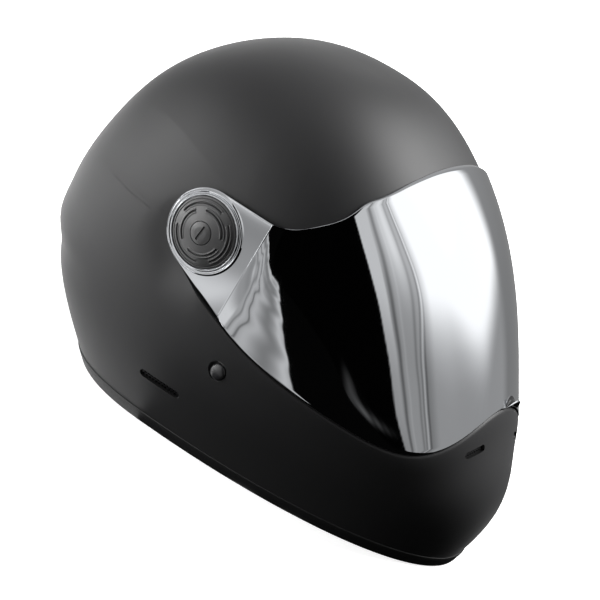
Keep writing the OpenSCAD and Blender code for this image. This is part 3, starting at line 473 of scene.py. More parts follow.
# The vent slots' walls, below their rounded lips: the shell's own bare laminate, black and dry.
laminate, tree, shader = new_material("bare_black_laminate", Base_Color=linear("#080808"), Roughness=0.8,
                                      Specular_IOR_Level=0.15)
grained(tree, shader, 900.0, 0.3, 0.0002, Detail=2.0)
shell.data.materials.append(laminate)
centres, normals = 1000 * face_values(shell.data, "center"), face_values(shell.data, "normal")
bare = np.zeros(len(centres), bool)
for vent in (SIDE_VENT, CHIN_VENT):
    for hand in (1, -1):
        at, x_way, y_way, out_way = vent_axes(vent, hand)
        local = centres - at
        bare |= ((np.abs(local @ x_way) < vent[2] / 2 + 0.3) & (np.abs(local @ y_way) < vent[3] / 2 + 0.3)
                 & (np.abs(local @ out_way) < SHELL_T + 3) & (np.abs(normals @ out_way) < 0.6))
shell.data.polygons.foreach_set("material_index", bare.astype(np.int32))
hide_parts("outer_shell")
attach(shell, "shell")


# Rim trim and port seal
# Two lengths of black extruded rubber. The trim is a U that is pushed over the shell's raw rim, and
# the seal is a flat bead pushed round the eye port, which the closed visor rests in front of.

TRIM_H, TRIM_T = 9, 1.1


def rounded(corners, radius, n=4):
    """A closed outline through corners, each rounded by a quadratic curve that starts and ends a set
    radius from it, of n steps."""
    p = np.asarray(corners, float)
    to_last, to_next = np.roll(p, 1, 0) - p, np.roll(p, -1, 0) - p
    last_l, next_l = np.linalg.norm(to_last, axis=1), np.linalg.norm(to_next, axis=1)
    r = np.minimum(radius, 0.48 * np.minimum(last_l, next_l))[:, None]
    a, b = p + to_last / last_l[:, None] * r, p + to_next / next_l[:, None] * r
    t = np.linspace(0, 1, n + 1)[None, :, None]
    curve = (1 - t) ** 2 * a[:, None] + 2 * t * (1 - t) * p[:, None] + t * t * b[:, None]
    return curve.reshape(-1, 2)


def ring_piece(name, sections, sharp=35):
    """A closed ring: an array of sections by points, joined both ways."""
    index = numbers(sections)
    return new_piece(name, sections, quads(np.concatenate([index, index[:1]]), True), sharp)


# The U's section in (depth outside the skin, height), from its outer lip under the rim to its inner lip.
trim_u = rounded([[0.3, TRIM_H], [TRIM_T * 0.8, TRIM_H - 0.5], [TRIM_T, TRIM_H - 2.4], [TRIM_T, 0.9],
                  [0.2, 0], [-SHELL_T - 0.6, 0], [-SHELL_T - TRIM_T - 1, 1.4],
                  [-SHELL_T - TRIM_T - 1, TRIM_H - 1.8], [-SHELL_T - 0.3, TRIM_H],
                  [-SHELL_T - 0.3, EDGE_Z - 0.1], [0.3, EDGE_Z - 0.1]], 0.7)
trim = ring_piece("rim_trim", skin(ROUND[:, None], trim_u[None, :, 1], trim_u[None, :, 0], 1))

# The bead goes once round the port, over its upper edge and back under its lower one, by shares of the
# port's half angle that are closer where it turns.
half = np.concatenate([np.linspace(0, 66, 40), np.linspace(67, 76.9, 40)[:-1], [76.8, 76.9, 76.97]])
half = np.unique(half / PORT_ANGLE)
loop_share = np.concatenate([half, half[::-1], -half[1:], -half[::-1][:-1]])
loop_side = np.repeat([1, -1, -1, 1], [len(half), len(half), len(half) - 1, len(half) - 1])
bead = rounded([[3, 0.15], [3, -SHELL_T], [0.6, -SHELL_T], [0.6, 0.15]], 0.6)
inset = bead[None, :, 0]
angle = loop_share[:, None] * (PORT_ANGLE - inset / PORT_MM_PER_DEGREE)
height = port_edge(angle, loop_side[:, None], inset)
seal = ring_piece("port_seal", skin(angle, height, bead[None, :, 1] + 0 * angle))

# Extruded EPDM rubber: a dull black with a fine, slightly dusty skin.
rubber, tree, shader = new_material("extruded_black_rubber", Base_Color=linear("#121213"), Roughness=0.58,
                                    IOR=1.52)
_, grain = grained(tree, shader, 900.0, 0.2, 0.0002, Detail=3.0)
dust = add(tree, "ShaderNodeMapRange", {"Value": grain, "From Min": 0.35, "From Max": 0.75,
                                        "To Min": 0.5, "To Max": 0.7})
tree.links.new(dust.outputs["Result"], shader.inputs["Roughness"])
for piece, node in ((trim, "bottom_trim"), (seal, "eyeport_seal")):
    piece.data.materials.append(rubber)
    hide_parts(node)
    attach(piece, "shell")


# Visor
# One sheet of polycarbonate, 2.2 mm, thermoformed with a crease before each flat round ear, and coated
# with a mirror. A stepped collar stands round each dial, and a thumb tab is formed at its lower edge.

HUB_R, DIAL_R, COLLAR_H, VISOR_EDGE_R = 16, 23, 1.9, 0.5
CREASE, CREASE_LEAN, CREASE_RUN = 36, 0.105, 20


def sheet(a, z, d):
    """Points of the visor's sheet: flat beside the ears as far as the crease, which leans forwards, and
    then down to the loft by 1 - (1 - t)^2, where t is the share of the run in front of the crease."""
    a, z, d = np.broadcast_arrays(*(np.asarray(v, float) for v in (a, z, d)))
    f = column(a, z, d)
    t = np.clip((f - PIVOT_FWD - CREASE - CREASE_LEAN * (z - PIVOT_Z)) / CREASE_RUN, 0, 1)
    x = mix(SEAT_X + d, side(f, z, d), 1 - (1 - t) ** 2)
    return np.stack([x * np.where(a < 0, -1, 1), MIDDLE - f, z], axis=-1)


def visor_section(a):
    """A loop round the sheet at each column: up its face, over a rounded edge, and down its back."""
    low, high = jaw_line(a)[:, None], brow_z(a)[:, None]
    r = np.minimum(VISOR_EDGE_R, (high - low) / 4)
    turn = np.radians([0, 30, 60, 90])[None]
    s = np.linspace(0, 1, 70)[None, 1:-1]
    flat = mix(low + r, high - r, s)
    rise, back = r * np.sin(turn), r * (1 - np.cos(turn))
    z = np.concatenate([flat, high - r + rise, (high - r + rise)[:, ::-1], flat[:, ::-1],
                        low + r - rise, (low + r - rise)[:, ::-1]], axis=1)
    d = np.concatenate([0 * flat, -back, -VISOR_T + back[:, ::-1], 0 * flat - VISOR_T,
                        -VISOR_T + back, -back[:, ::-1]], axis=1) + VISOR_OUT
    return sheet(a[:, None], z, d)


# The sheet's columns: a degree apart in front, closer over the crease, and even round the ear's circle.
ear_turn = np.linspace(78, 2, 26)
half = np.unique(np.concatenate([
    np.arange(0, 75, 1.0), np.linspace(75, 84, 55)[:-1],
    angle_at(np.linspace(float(column(84, PIVOT_Z, 0)), PIVOT_FWD - 4, 12)),
    angle_at(PIVOT_FWD - EAR_R * np.cos(np.radians(ear_turn)))]))
sections = visor_section(np.concatenate([-half[:0:-1], half]))
visor = new_piece("visor_sheet", sections, capped(numbers(sections)), 30)
cut(visor, [prism("cut", circle(HUB_R, 128), [(-6, 0), (8, 0)], pivot_axes[hand]) for hand in (1, -1)], 30)


def revolve(name, outline, axes, n=160, closed=True, sharp=30):
    """An outline of (radius, depth) points turned round the fourth of four axes in n steps. An open
    outline starts and ends on the axis."""
    at, x_way, y_way, out_way = axes
    turn = np.linspace(0, 2 * math.pi, n, endpoint=False)[:, None, None]
    r, depth = outline[None, :, :1], outline[None, :, 1:]
    points = at + r * np.cos(turn) * x_way + r * np.sin(turn) * y_way + depth * out_way
    index = numbers(points)
    return new_piece(name, points, quads(np.concatenate([index, index[:1]]), closed), sharp)


# The collar's section in (radius, height over the seat): a bead round the dial's window, a shallow
# trough, a wider bead, and a step down to the sheet near the ear's edge.
collar_base, collar_top = VISOR_GAP + VISOR_T / 2, VISOR_OUT + COLLAR_H
window, collar_edge = DIAL_R + 0.3, EAR_R - 0.2
collar_section = rounded([[window, collar_base], [window, collar_top + 0.1], [window + 0.9, collar_top + 0.1],
                          [window + 1.2, collar_top - 1.1], [window + 1.8, collar_top - 1.1],
                          [collar_edge - 1.6, collar_top - 0.6], [collar_edge - 0.7, collar_top - 1.4],
                          [collar_edge, collar_top - 2.6], [collar_edge, collar_base]], 0.4)
collars = [revolve("visor_collar_" + word, collar_section, pivot_axes[hand])
           for word, hand in (("left", 1), ("right", -1))]

# The thumb tab: a thin lip that leans up and out of the sheet's lower edge, 35 mm wide and on the
# wearer's left of the middle, where that hand lifts it. The sheet swells a little round its root. The
# lip's section in (depth, height) goes out under it, round its tip and back over its hollow upper face.
# The coating goes round the tip, and leaves the section's steps from BARE_FROM to BARE_TO bare.
TAB_MIDDLE, TAB_HALF, TAB_REACH, TAB_RISE = 4.8, 4.8, 5, 6.05
ROOT_H, SWELL, SWELL_H, HOLLOW, BARE_FROM, BARE_TO = 4.5, 0.35, 3.0, 3.6, 9, 19
share = np.linspace(0, 1, 9)
upper_face = np.stack([mix(TAB_REACH - 0.6, SWELL, share),
                       mix(TAB_RISE - 0.15, ROOT_H + 0.1, share) - HOLLOW * share * (1 - share)], -1)
lip = np.concatenate([[[2.2, 2.3], [TAB_REACH - 0.4, 4.9], [TAB_REACH, 5.45],
                       [TAB_REACH - 0.05, TAB_RISE - 0.15], [TAB_REACH - 0.4, TAB_RISE]],
                      upper_face]) - [SWELL, ROOT_H + 0.1]
along = np.linspace(-1.35, 1.35, 109)[:, None]
full = np.clip(1 - along ** 2, 0, 1)
root = ROOT_H * full ** 1.2
above = np.linspace(0, SWELL_H, 7)[None]
swell = SWELL * (1 - ease(0, 1, np.hypot(above / SWELL_H, np.clip(np.abs(along) - 1, 0, 1) / 0.3)))
ones = np.ones_like(along)
tab_depth = np.concatenate([-1 * ones, -0.05 * ones, swell[:, :1] + full * lip[:, 0],
                            swell - 0.06 * (above > 0), -1 * ones], 1)
tab_height = np.concatenate([0.4 * ones, 0.1 * ones, root + 0.15 + full * lip[:, 1],
                             root + 0.2 + above, root + 0.2 + SWELL_H], 1)
angle = TAB_MIDDLE + TAB_HALF * along
sections = sheet(angle, jaw_line(angle[:, 0])[:, None] + tab_height, VISOR_OUT + tab_depth)
tab_faces = capped(numbers(sections))
row, step = np.divmod(np.arange(len(tab_faces)), sections.shape[1])
bare = (full[row, 0] > 0) & (step >= BARE_FROM) & (step < BARE_TO)
tab = new_piece("visor_tab", sections, tab_faces, slots=bare)

# Vacuum-coated mirror over smoked polycarbonate: a neutral silver that reflects nearly everything, with
# the faint waviness that thermoforming leaves, and a fine raised line 1.2 mm wide along the crease.
mirror, tree, shader = new_material("mirror_coated_polycarbonate", Base_Color=linear("#c8cacd"), Metallic=1.0,
                                    Roughness=0.035)
place = add(tree, "ShaderNodeTexCoord").outputs["Object"]
wave = add(tree, "ShaderNodeTexNoise", {"Vector": place, "Scale": 22.0, "Detail": 1.0, "Roughness": 0.4})
wavy = add(tree, "ShaderNodeBump", {"Height": wave.outputs["Fac"], "Strength": 0.12, "Distance": 0.002})
spot = add(tree, "ShaderNodeSeparateXYZ", {"Vector": place})
lean = add(tree, "ShaderNodeMath", {0: spot.outputs["Z"], 1: CREASE_LEAN}, operation="MULTIPLY").outputs[0]
ahead = add(tree, "ShaderNodeMath", {0: spot.outputs["Y"], 1: lean}, operation="ADD").outputs[0]
crease_y = (MIDDLE - PIVOT_FWD - CREASE + CREASE_LEAN * PIVOT_Z) / 1000
off = add(tree, "ShaderNodeMath", {0: ahead, 1: crease_y}, operation="SUBTRACT").outputs[0]
off = add(tree, "ShaderNodeMath", {0: off}, operation="ABSOLUTE").outputs[0]
rib = add(tree, "ShaderNodeMapRange", {"Value": off, "From Max": 0.0006, "To Min": 1.0, "To Max": 0.0},
          interpolation_type="SMOOTHSTEP").outputs["Result"]
bump = add(tree, "ShaderNodeBump", {"Height": rib, "Strength": 1.0, "Distance": 0.00013,
                                    "Normal": wavy.outputs["Normal"]})
tree.links.new(bump.outputs["Normal"], shader.inputs["Normal"])
visor.data.materials.append(mirror)
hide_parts("visor")
for piece in [visor, tab] + collars:
    if not piece.data.materials:
        piece.data.materials.append(mirror)
    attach(piece, "visor")

# The mirror coating is sprayed on from the front, so the sheet's back, its lower edge and the lip's upper
# face stay bare smoked plastic.
smoked, tree, shader = new_material("smoked_polycarbonate", Base_Color=linear("#0d0e10"), Roughness=0.2)
grained(tree, shader, 400.0, 0.2, 0.0002)
tab.data.materials.append(smoked)
visor.data.materials.append(smoked)
normals = face_values(visor.data, "normal")
outward = ((face_values(visor.data, "center") - [0, MIDDLE / 1000, 0]) * normals)[:, :2].sum(axis=1)
bare = (outward <= 0) | (normals[:, 2] < -0.25)
visor.data.polygons.foreach_set("material_index", bare.astype(np.int32))


# Dials and their screws
# Two dials moulded in satin black nylon, domed, with rings of arc grooves that the fingers grip. Each is
# clamped on its hub by a screw with a coin slot.

BOSS_TOP, DIAL_RIM, DIAL_DOME, HEAD_R, SCREW_R = VISOR_OUT + 0.3, 1.2, 5, 7.4, 3
HEAD_SEAT, RIM_TOP = BOSS_TOP + 2.9, BOSS_TOP + DIAL_RIM
SLOT_LENGTH, SLOT_WIDTH, SLOT_DEPTH, SLOT_TURN = 10.4, 1.5, 1.3, 78
# Each ring of grooves: its radius, how many arcs it has, and the angle at which the first starts.
GROOVES = ((14.5, 3, 12), (18.7, 3, 70))
GROOVE_DEPTH, LIP_RISE, ARC_GAP, RIM_GROOVE, RIM_GROOVE_DEPTH = 0.85, 0.3, 26, 21.3, 0.5


def dome_at(r):
    """Height of the dial's dome over the seat: a paraboloid on the rim."""
    return RIM_TOP + DIAL_DOME * (1 - (r / DIAL_R) ** 2)


def dial_height(r, turn):
    """The dome's height less the grooves: each is a bell curve across its radius between two raised
    lips, kept to arcs whose ends fade over 3 degrees. One more groove runs all round the rim."""
    z = dome_at(r)
    for ring, count, start in GROOVES:
        pitch = 360 / count
        at = np.mod(turn - start, pitch)
        length = pitch - ARC_GAP
        arc = ease(0, 3, at) * (1 - ease(length - 3, length, at))
        z = z - GROOVE_DEPTH * arc * np.exp(-((r - ring) / 0.42) ** 4)
        z = z + LIP_RISE * arc * np.exp(-((np.abs(r - ring) - 1.1) / 0.5) ** 2)
    return z - RIM_GROOVE_DEPTH * np.exp(-((r - RIM_GROOVE) / 0.3) ** 4)


def dial_piece(name, axes):
    """A polar grid over the top, closed by the rim, the underside and the bore of the head's seat."""
    turn = np.linspace(0, 360, 360, endpoint=False)[:, None]
    r = np.concatenate([np.arange(HEAD_R + 0.5, DIAL_R - 0.5, 0.11), [DIAL_R - 0.5]])[None]
    z = dial_height(r, turn)
    bore_top, rim_top = dome_at(HEAD_R), dome_at(DIAL_R)
    seat = np.array([[SCREW_R + 0.05, BOSS_TOP + 0.02], [SCREW_R + 0.05, HEAD_SEAT],
                     [HEAD_R + 0.15, HEAD_SEAT], [HEAD_R + 0.15, bore_top - 0.3],
                     [HEAD_R + 0.3, bore_top - 0.05]])
    rim = np.array([[DIAL_R - 0.2, rim_top - 0.1], [DIAL_R, rim_top - 0.4],
                    [DIAL_R, BOSS_TOP + 0.5], [DIAL_R - 0.4, BOSS_TOP + 0.02]])
    spread = np.ones_like(turn)
    r = np.concatenate([spread * seat[None, :, 0], spread * r, spread * rim[None, :, 0]], axis=1)
    z = np.concatenate([spread * seat[None, :, 1], z, spread * rim[None, :, 1]], axis=1)
    at, x_way, y_way, out_way = axes
    t = np.radians(turn)[..., None]
    points = at + r[..., None] * (np.cos(t) * x_way + np.sin(t) * y_way) + z[..., None] * out_way
    return ring_piece(name, points, 40)


def screw_piece(name, axes):
    """The screw: a domed head with a rounded edge on a straight shank, turned, with a coin slot cut in."""
    height = dome_at(0) - HEAD_SEAT + 0.3
    head = rounded([[0.001, 0.001], [HEAD_R, 0], [HEAD_R, height - 0.9], [HEAD_R * 0.55, height - 0.1],
                    [0.001, height]], 0.5)
    head = head[(head[:, 0] > 0.01)]
    foot = -SHELL_T - SEAT_SINK - HEAD_SEAT
    outline = np.concatenate([[[0, foot], [SCREW_R, foot], [SCREW_R, 0]], head[1:], [[0, height]]])
    outline[:, 1] += HEAD_SEAT
    screw = revolve(name, outline, axes, 96, False)
    at, x_way, y_way, out_way = axes
    corners = np.array([[-1, -1], [1, -1], [1, 1], [-1, 1]]) * [SLOT_LENGTH / 2, SLOT_WIDTH / 2]
    top = turned((at + out_way * (HEAD_SEAT + height), x_way, y_way, out_way), SLOT_TURN)
    return cut(screw, [prism("cut", rounded(corners, 0.4), [(-SLOT_DEPTH, 0), (2, 0)], top)])


# Glass-filled nylon with a fine spark-eroded texture: satin black. The screw's head is the same.
nylon, tree, shader = new_material("moulded_satin_nylon", Base_Color=linear("#262627"), Roughness=0.34,
                                   IOR=1.53, Specular_IOR_Level=0.85)
grained(tree, shader, 1800.0, 0.1, 0.0001, Detail=2.0)
for word, hand in (("left", 1), ("right", -1)):
    dial = dial_piece("grip_dial_" + word, pivot_axes[hand])
    screw = screw_piece("coin_screw_" + word, pivot_axes[hand])
    for piece, node, slot in ((dial, "dial_" + word, "dial_plastic"),
                              (screw, "dial_screw_" + word, "screw_plastic")):
        piece.data.materials.append(nylon)
        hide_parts(node)
        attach(piece, "dial_" + word)


# Hubs, nuts and washers
# The moulded hub that each ear of the visor runs on, the steel nut that clamps it behind the shell, and
# the washer behind each strap rivet. Their solids are right as they are, and take their finish here.

# Acetal, dark grey, with the faint unevenness that turning leaves, drawn at 1.4 mm so that it shows.
acetal, tree, shader = new_material("turned_grey_acetal", Base_Color=linear("#3a3b3d"), Roughness=0.38,
                                    IOR=1.48)
grained(tree, shader, 700.0, 0.08, 0.0001, Detail=2.0)

# Zinc-plated steel: bright grey with a soft mottle in its gloss, where the plating is thinner.
zinc, tree, shader = new_material("zinc_plated_steel", Base_Color=linear("#b4b7bb"), Metallic=1.0,
                                  Roughness=0.3)
_, mottle = grained(tree, shader, 260.0, 0.05, 0.0002, Detail=4.0, Roughness=0.6)
gloss = add(tree, "ShaderNodeMapRange", {"Value": mottle, "From Min": 0.3, "From Max": 0.7,
                                         "To Min": 0.22, "To Max": 0.4})
tree.links.new(gloss.outputs["Result"], shader.inputs["Roughness"])
for word in ("left", "right"):
    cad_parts["pivot_hub_" + word].material_slots[0].material = acetal
    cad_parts["pivot_nut_" + word].material_slots[0].material = zinc
    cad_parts["rivet_washer_" + word].material_slots[0].material = zinc


# Strap rivets
# A black-coated steel rivet through each side of the shell, its round head in a shallow seat, with the
# webbing held on its shank inside.

RIVET_R, SHANK_R, WEB_W, WEB_T, WASHER_T, WASHER_R, SOFT_GAP = 5.4, 2.6, 20, 1.6, 1.2, 7.5, 0.8


def strap_at(z):
    """Distance of the webbing from the middle plane: flat, and as far out as its front edge allows."""
    return side(np.asarray(RIVET_FWD + WEB_W / 2.0), np.asarray(z, float), -SHELL_T) - SOFT_GAP - WEB_T / 2


STRAP_X = float(strap_at(RIVET_Z - WASHER_R - 1))
STRAP_TOP = RIVET_Z + 14
turn = np.radians(np.linspace(0, 90, 16))
shank = RIVET_SEAT - (STRAP_X - WEB_T / 2 - WASHER_T) + 0.6
head = np.stack([RIVET_R * np.cos(turn), 0.7 + 2.1 * np.sin(turn)], -1)
rivet_section = np.concatenate([[[0, -shank], [SHANK_R - 0.4, -shank], [SHANK_R, -shank + 0.4], [SHANK_R, 0],
                                 [RIVET_R - 0.3, 0.02], [RIVET_R, 0.3]], head])

# Black oxide over a turned steel head, with a low gloss and a speckle drawn at 0.7 mm.
black_steel, tree, shader = new_material("black_coated_steel", Base_Color=linear("#202022"), Roughness=0.3,
                                         IOR=1.55, Coat_Weight=0.3, Coat_Roughness=0.2)
grained(tree, shader, 1500.0, 0.08, 0.0001, Detail=3.0)
for word, hand in (("left", 1), ("right", -1)):
    axes = side_axes(RIVET_SEAT, RIVET_FWD, RIVET_Z, hand)
    rivet = revolve("rivet_" + word, rivet_section, axes, 72, False)
    rivet.data.materials.append(black_steel)
    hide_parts("strap_rivet_" + word)
    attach(rivet, "shell")


# Vent meshes
# Moulded black nylon meshes pressed into the four vent slots, to keep stones out. Each is a plate 1 mm
# thick, pierced by two rows of rounded openings.

MESH_WALL = 0.7


def mesh_piece(name, vent, hand, counts):
    """A plate with its openings cut out: each row is stepped half a pitch from the last."""
    length, height = vent[2] - 0.2, vent[3] - 0.2
    rows, cols = counts
    axes = vent_axes(vent, hand)
    plate = prism(name, stadium(length, height), [(-SHELL_T + 0.6, -0.15), (-SHELL_T + 0.75, 0),
                                                 (-SHELL_T + 1.45, 0), (-SHELL_T + 1.6, -0.15)], axes)
    pitch_x, pitch_y = (length - height * 0.5) / cols, height / (rows + 0.3)
    hole = (rounded([[-1, -1], [1, -1], [1, 1], [-1, 1]], 0.6, 3)
            * [(pitch_x - MESH_WALL) / 2, (pitch_y - MESH_WALL) / 2])
    row, col = np.meshgrid(np.arange(rows), np.arange(cols), indexing="ij")
    x = (col - (cols - 1) / 2 + 0.25 * (-1) ** row) * pitch_x
    y = (row - (rows - 1) / 2) * pitch_y
    centres = np.stack([x.ravel(), y.ravel()], -1)
    at, x_way, y_way, out_way = axes
    outline = centres[:, None] + hole[None]
    depth = np.array([-SHELL_T, -SHELL_T + 2.2])
    points = (at + outline[:, None, :, :1] * x_way + outline[:, None, :, 1:] * y_way
              + depth[None, :, None, None] * out_way)
    index = np.arange(points.size // 3).reshape(len(centres), 2, len(hole))
    return cut(plate, [new_piece("holes", points, [face for one in index for face in capped(one)])])


# Moulded black nylon, dull, with a fine spark-eroded texture.
mesh_nylon, tree, shader = new_material("moulded_mesh_nylon", Base_Color=linear("#0b0b0c"), Roughness=0.5,
                                        IOR=1.53, Specular_IOR_Level=0.15)
grained(tree, shader, 1800.0, 0.1, 0.0001, Detail=2.0)
for word, hand in (("left", 1), ("right", -1)):
    for name, vent, counts in (("side_vent_mesh_", SIDE_VENT, (2, 11)),
                               ("chin_vent_mesh_", CHIN_VENT, (2, 7))):
        plate = mesh_piece(name.replace("vent", "vent_grille") + word, vent, hand, counts)
        plate.data.materials.append(mesh_nylon)
        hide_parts(name + word)
        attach(plate, "shell")


# Crown foam, chin foam and cheek cores
# Expanded polystyrene, moulded in charcoal grey: a 24 mm dome in the crown, a 15 mm block behind the
# chin bar, and a core behind each cheek with a channel in its back that the strap runs down.

FOAM_T, CHIN_FOAM_T, CORE_T, CORE_LOW, FOAM_EDGE_R, NUT_HOLE_R = 24, 15, 17, 28, 2.0, 11.4
FOAM_D = -SHELL_T - SOFT_GAP
CORE_D = FOAM_D - CORE_T
CHEEK_TOP, NAPE_Z = PIVOT_Z - 24, 66
CHEEK_FROM, CHEEK_TO, CHIN_END = 53, 98, 50


def lining(a, z, d):
    """Points of the lining: the skin's, less the ridge at the back and the hollow below it."""
    hollow = 0.7 * RIDGE_H * ease(*RIDGE_FROM_TO, np.abs(a)) * (1 - ease(RIDGE_Z + 20, RIDGE_Z + 60, z))
    return skin(a, z, d - ridge(a, z) - hollow)


def foam_low(a):
    """Height of the crown foam's lower edge: over the port, down past the ears and low at the nape."""
    b = np.abs(a)
    front = mix(port_edge(b, 1) + 6, CHEEK_TOP + 2, ease(PORT_ANGLE, 84, b))
    return mix(front, NAPE_Z, ease(103, 130, b))


def bowl(name, low, outer, inner, columns, r, rows=56, sharp=50):
    """A dome between an outer and an inner depth. Its grid runs from the crown down the outside, round
    the lower edge by a radius r and up the inside, in columns, with rows on each side."""
    up = (1 - (1 - np.linspace(0, 1, rows)[:-1]) ** 2.1)[:, None]
    a, start = columns[None], low(columns)[None]
    v = np.radians([18, 36, 54, 72, 90])[:, None]
    turn_z, turn_d = start + r * (1 - np.sin(v)), r * (1 - np.cos(v)) + 0 * a
    z = np.concatenate([mix(start + r, SHELL_H + outer, up[::-1]), turn_z, turn_z[::-1],
                        mix(start + r, SHELL_H + inner, up)])
    d = np.concatenate([outer + 0 * (up + a), outer - turn_d, (inner + turn_d)[::-1], inner + 0 * (up + a)])
    points = lining(a, z, d)
    index = numbers(points)
    tips = [[0, MIDDLE, SHELL_H + outer], [0, MIDDLE, SHELL_H + inner]]
    faces = quads(index, True) + fan(index[0], index.size) + fan(index[-1], index.size + 1)
    return new_piece(name, np.concatenate([points.reshape(-1, 3), tips]), faces, sharp)


def two_sided(grid):
    """Faces of a closed block: a grid of points, one like it behind, and the four strips between."""
    a = numbers(grid)
    b = a + a.size
    faces = quads(a) + quads(b, flip=True)
    for one, two in ((a[0], b[0]), (b[-1], a[-1]), (b[:, 0], a[:, 0]), (a[:, -1], b[:, -1])):
        faces += quads(np.stack([one, two]))
    return faces


def slab(name, outer, inner, sharp=50, bevel=1.2):
    """A closed block between two grids of points, its edges rounded by a bevel."""
    points = np.concatenate([outer.reshape(-1, 3), inner.reshape(-1, 3)])
    piece = new_piece(name, points, two_sided(outer), sharp)
    if bevel:
        step = piece.modifiers.new("edge", "BEVEL")
        step.width, step.segments = bevel / 1000, 3
        step.limit_method, step.angle_limit = "ANGLE", math.radians(sharp)
    return piece


def core_top(a):
    """Height of a cheek core's top: 4 mm below the port, and no higher than the cheek's own limit."""
    return np.minimum(port_edge(np.minimum(np.abs(a), PORT_ANGLE), -1) - 4, CHEEK_TOP)


def core_point(a, t, d):
    """A point of the cheek at angle a, at a share t of its height, and d outside the loft."""
    return skin(a, mix(CORE_LOW, core_top(a), t), d)


even = np.concatenate([-np.arange(178, 0, -2.0), np.arange(0, 181, 2.0)])
crown_foam = bowl("crown_liner", foam_low, FOAM_D, FOAM_D - FOAM_T, even, FOAM_EDGE_R)
cut(crown_foam, [prism("cut", circle(NUT_HOLE_R, 48), [(-SHELL_T - 3, 0), (9, 0)], pivot_axes[hand])
                 for hand in (1, -1)], 50)
a = np.linspace(-CHIN_END, CHIN_END, 61)[None]
t = np.linspace(0, 1, 14)[:, None]
z = mix(TRIM_H + 3, np.minimum(port_edge(a, -1) - 4, JAW_Z + 18), t)
chin_foam = slab("chin_liner", skin(a, z, FOAM_D), skin(a, z, FOAM_D - CHIN_FOAM_T))
cut(chin_foam, [prism("cut", chin_slot, [(-30, 0), (6, 0)], vent_axes(CHIN_VENT, hand))
                for hand in (1, -1)], 50)
a, t = np.linspace(CHEEK_FROM, CHEEK_TO, 46)[None], np.linspace(0, 1, 30)[:, None]
# The channel's outline in (x, z), past the shell on its outer side, and swept along the length.
wall_x = STRAP_X - WEB_T / 2 - WASHER_T - 1
channel = np.array([[wall_x, STRAP_TOP + 1.5], [wall_x, RIVET_Z - WASHER_R - 2],
                    [float(strap_at(CORE_LOW)) - 3, CORE_LOW - 1],
                    [HALF_W + 8, CORE_LOW - 1], [HALF_W + 8, STRAP_TOP + 1.5]])
channel_half = WEB_W / 2 + 1.5
cores = []
for word, hand in (("left", 1), ("right", -1)):
    outer, inner = (core_point(hand * a, t, d) for d in (FOAM_D, CORE_D))
    core = slab("cheek_block_" + word, outer, inner, bevel=0)
    lengthways = (np.array([0, MIDDLE - RIVET_FWD, 0]), np.array([hand, 0, 0]), np.array([0, 0, 1.0]),
                  np.array([0, 1.0, 0]))
    cutter = prism("cut", channel, [(-channel_half, 0), (channel_half, 0)], lengthways)
    cores.append(cut(core, [cutter], 50))


def shaded_colour(tree, shader, colour, shade):
    """Drives a shader's colour: the colour times a shade, which is a number near 1."""
    grey = add(tree, "ShaderNodeCombineColor", {"Red": shade, "Green": shade, "Blue": shade})
    tint = add(tree, "ShaderNodeMix", {0: 1.0, 6: colour, 7: grey.outputs["Color"]}, data_type="RGBA",
               blend_type="MULTIPLY")
    tree.links.new(tint.outputs[2], shader.inputs["Base Color"])


# Grey polystyrene beads, 3 mm across, fused in the mould: each is a cell with its own slight shade.
FOAM_COLOUR = linear("#27282b")
polystyrene, tree, shader = new_material("expanded_polystyrene", Base_Color=FOAM_COLOUR,
                                         Roughness=0.75, IOR=1.5)
place = add(tree, "ShaderNodeTexCoord").outputs["Object"]
beads = add(tree, "ShaderNodeTexVoronoi", {"Vector": place, "Scale": 330.0})
shade = add(tree, "ShaderNodeSeparateColor", {"Color": beads.outputs["Color"]}).outputs["Red"]
shade = add(tree, "ShaderNodeMapRange", {"Value": shade, "To Min": 0.8, "To Max": 1.25}).outputs["Result"]
shaded_colour(tree, shader, FOAM_COLOUR, shade)
bump = add(tree, "ShaderNodeBump", {"Height": beads.outputs["Distance"], "Strength": 0.5, "Distance": 0.0006},
           invert=True)
tree.links.new(bump.outputs["Normal"], shader.inputs["Normal"])
for piece, node in ((crown_foam, "crown_foam"), (chin_foam, "chin_foam"), (cores[0], "cheek_core_left"),
                    (cores[1], "cheek_core_right")):
    piece.data.materials.append(polystyrene)
    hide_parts(node)
    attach(piece, "shell")


# Chin straps and their rings
# Woven polyester webbing, 20 mm wide, riveted at each side. The left one is sewn round two steel D rings,
# and the right one hangs with a plain, heat-sealed end.

RING_X, RING_Z, RING_WIRE, RING_BEND = 44, 24, 1.6, 2.4
RING_PITCH, LOOP_R, HANG_Z = 2 * RING_WIRE + 0.4, RING_WIRE + 0.12, 26


def curve_through(points, n):
    """n points a side of each stretch on a Catmull-Rom curve through a list of points."""
    p = np.asarray(points, float)
    e = np.concatenate([[2 * p[0] - p[1]], p, [2 * p[-1] - p[-2]]])
    t = np.linspace(0, 1, n, endpoint=False)[None, :, None]
    a, b, c, d = e[:-3, None], e[1:-2, None], e[2:-1, None], e[3:, None]
    curve = 0.5 * (2 * b + (c - a) * t + (2 * a - 5 * b + 4 * c - d) * t ** 2
                   + (3 * b - a - 3 * c + d) * t ** 3)
    return np.concatenate([curve.reshape(-1, p.shape[1]), p[-1:]])


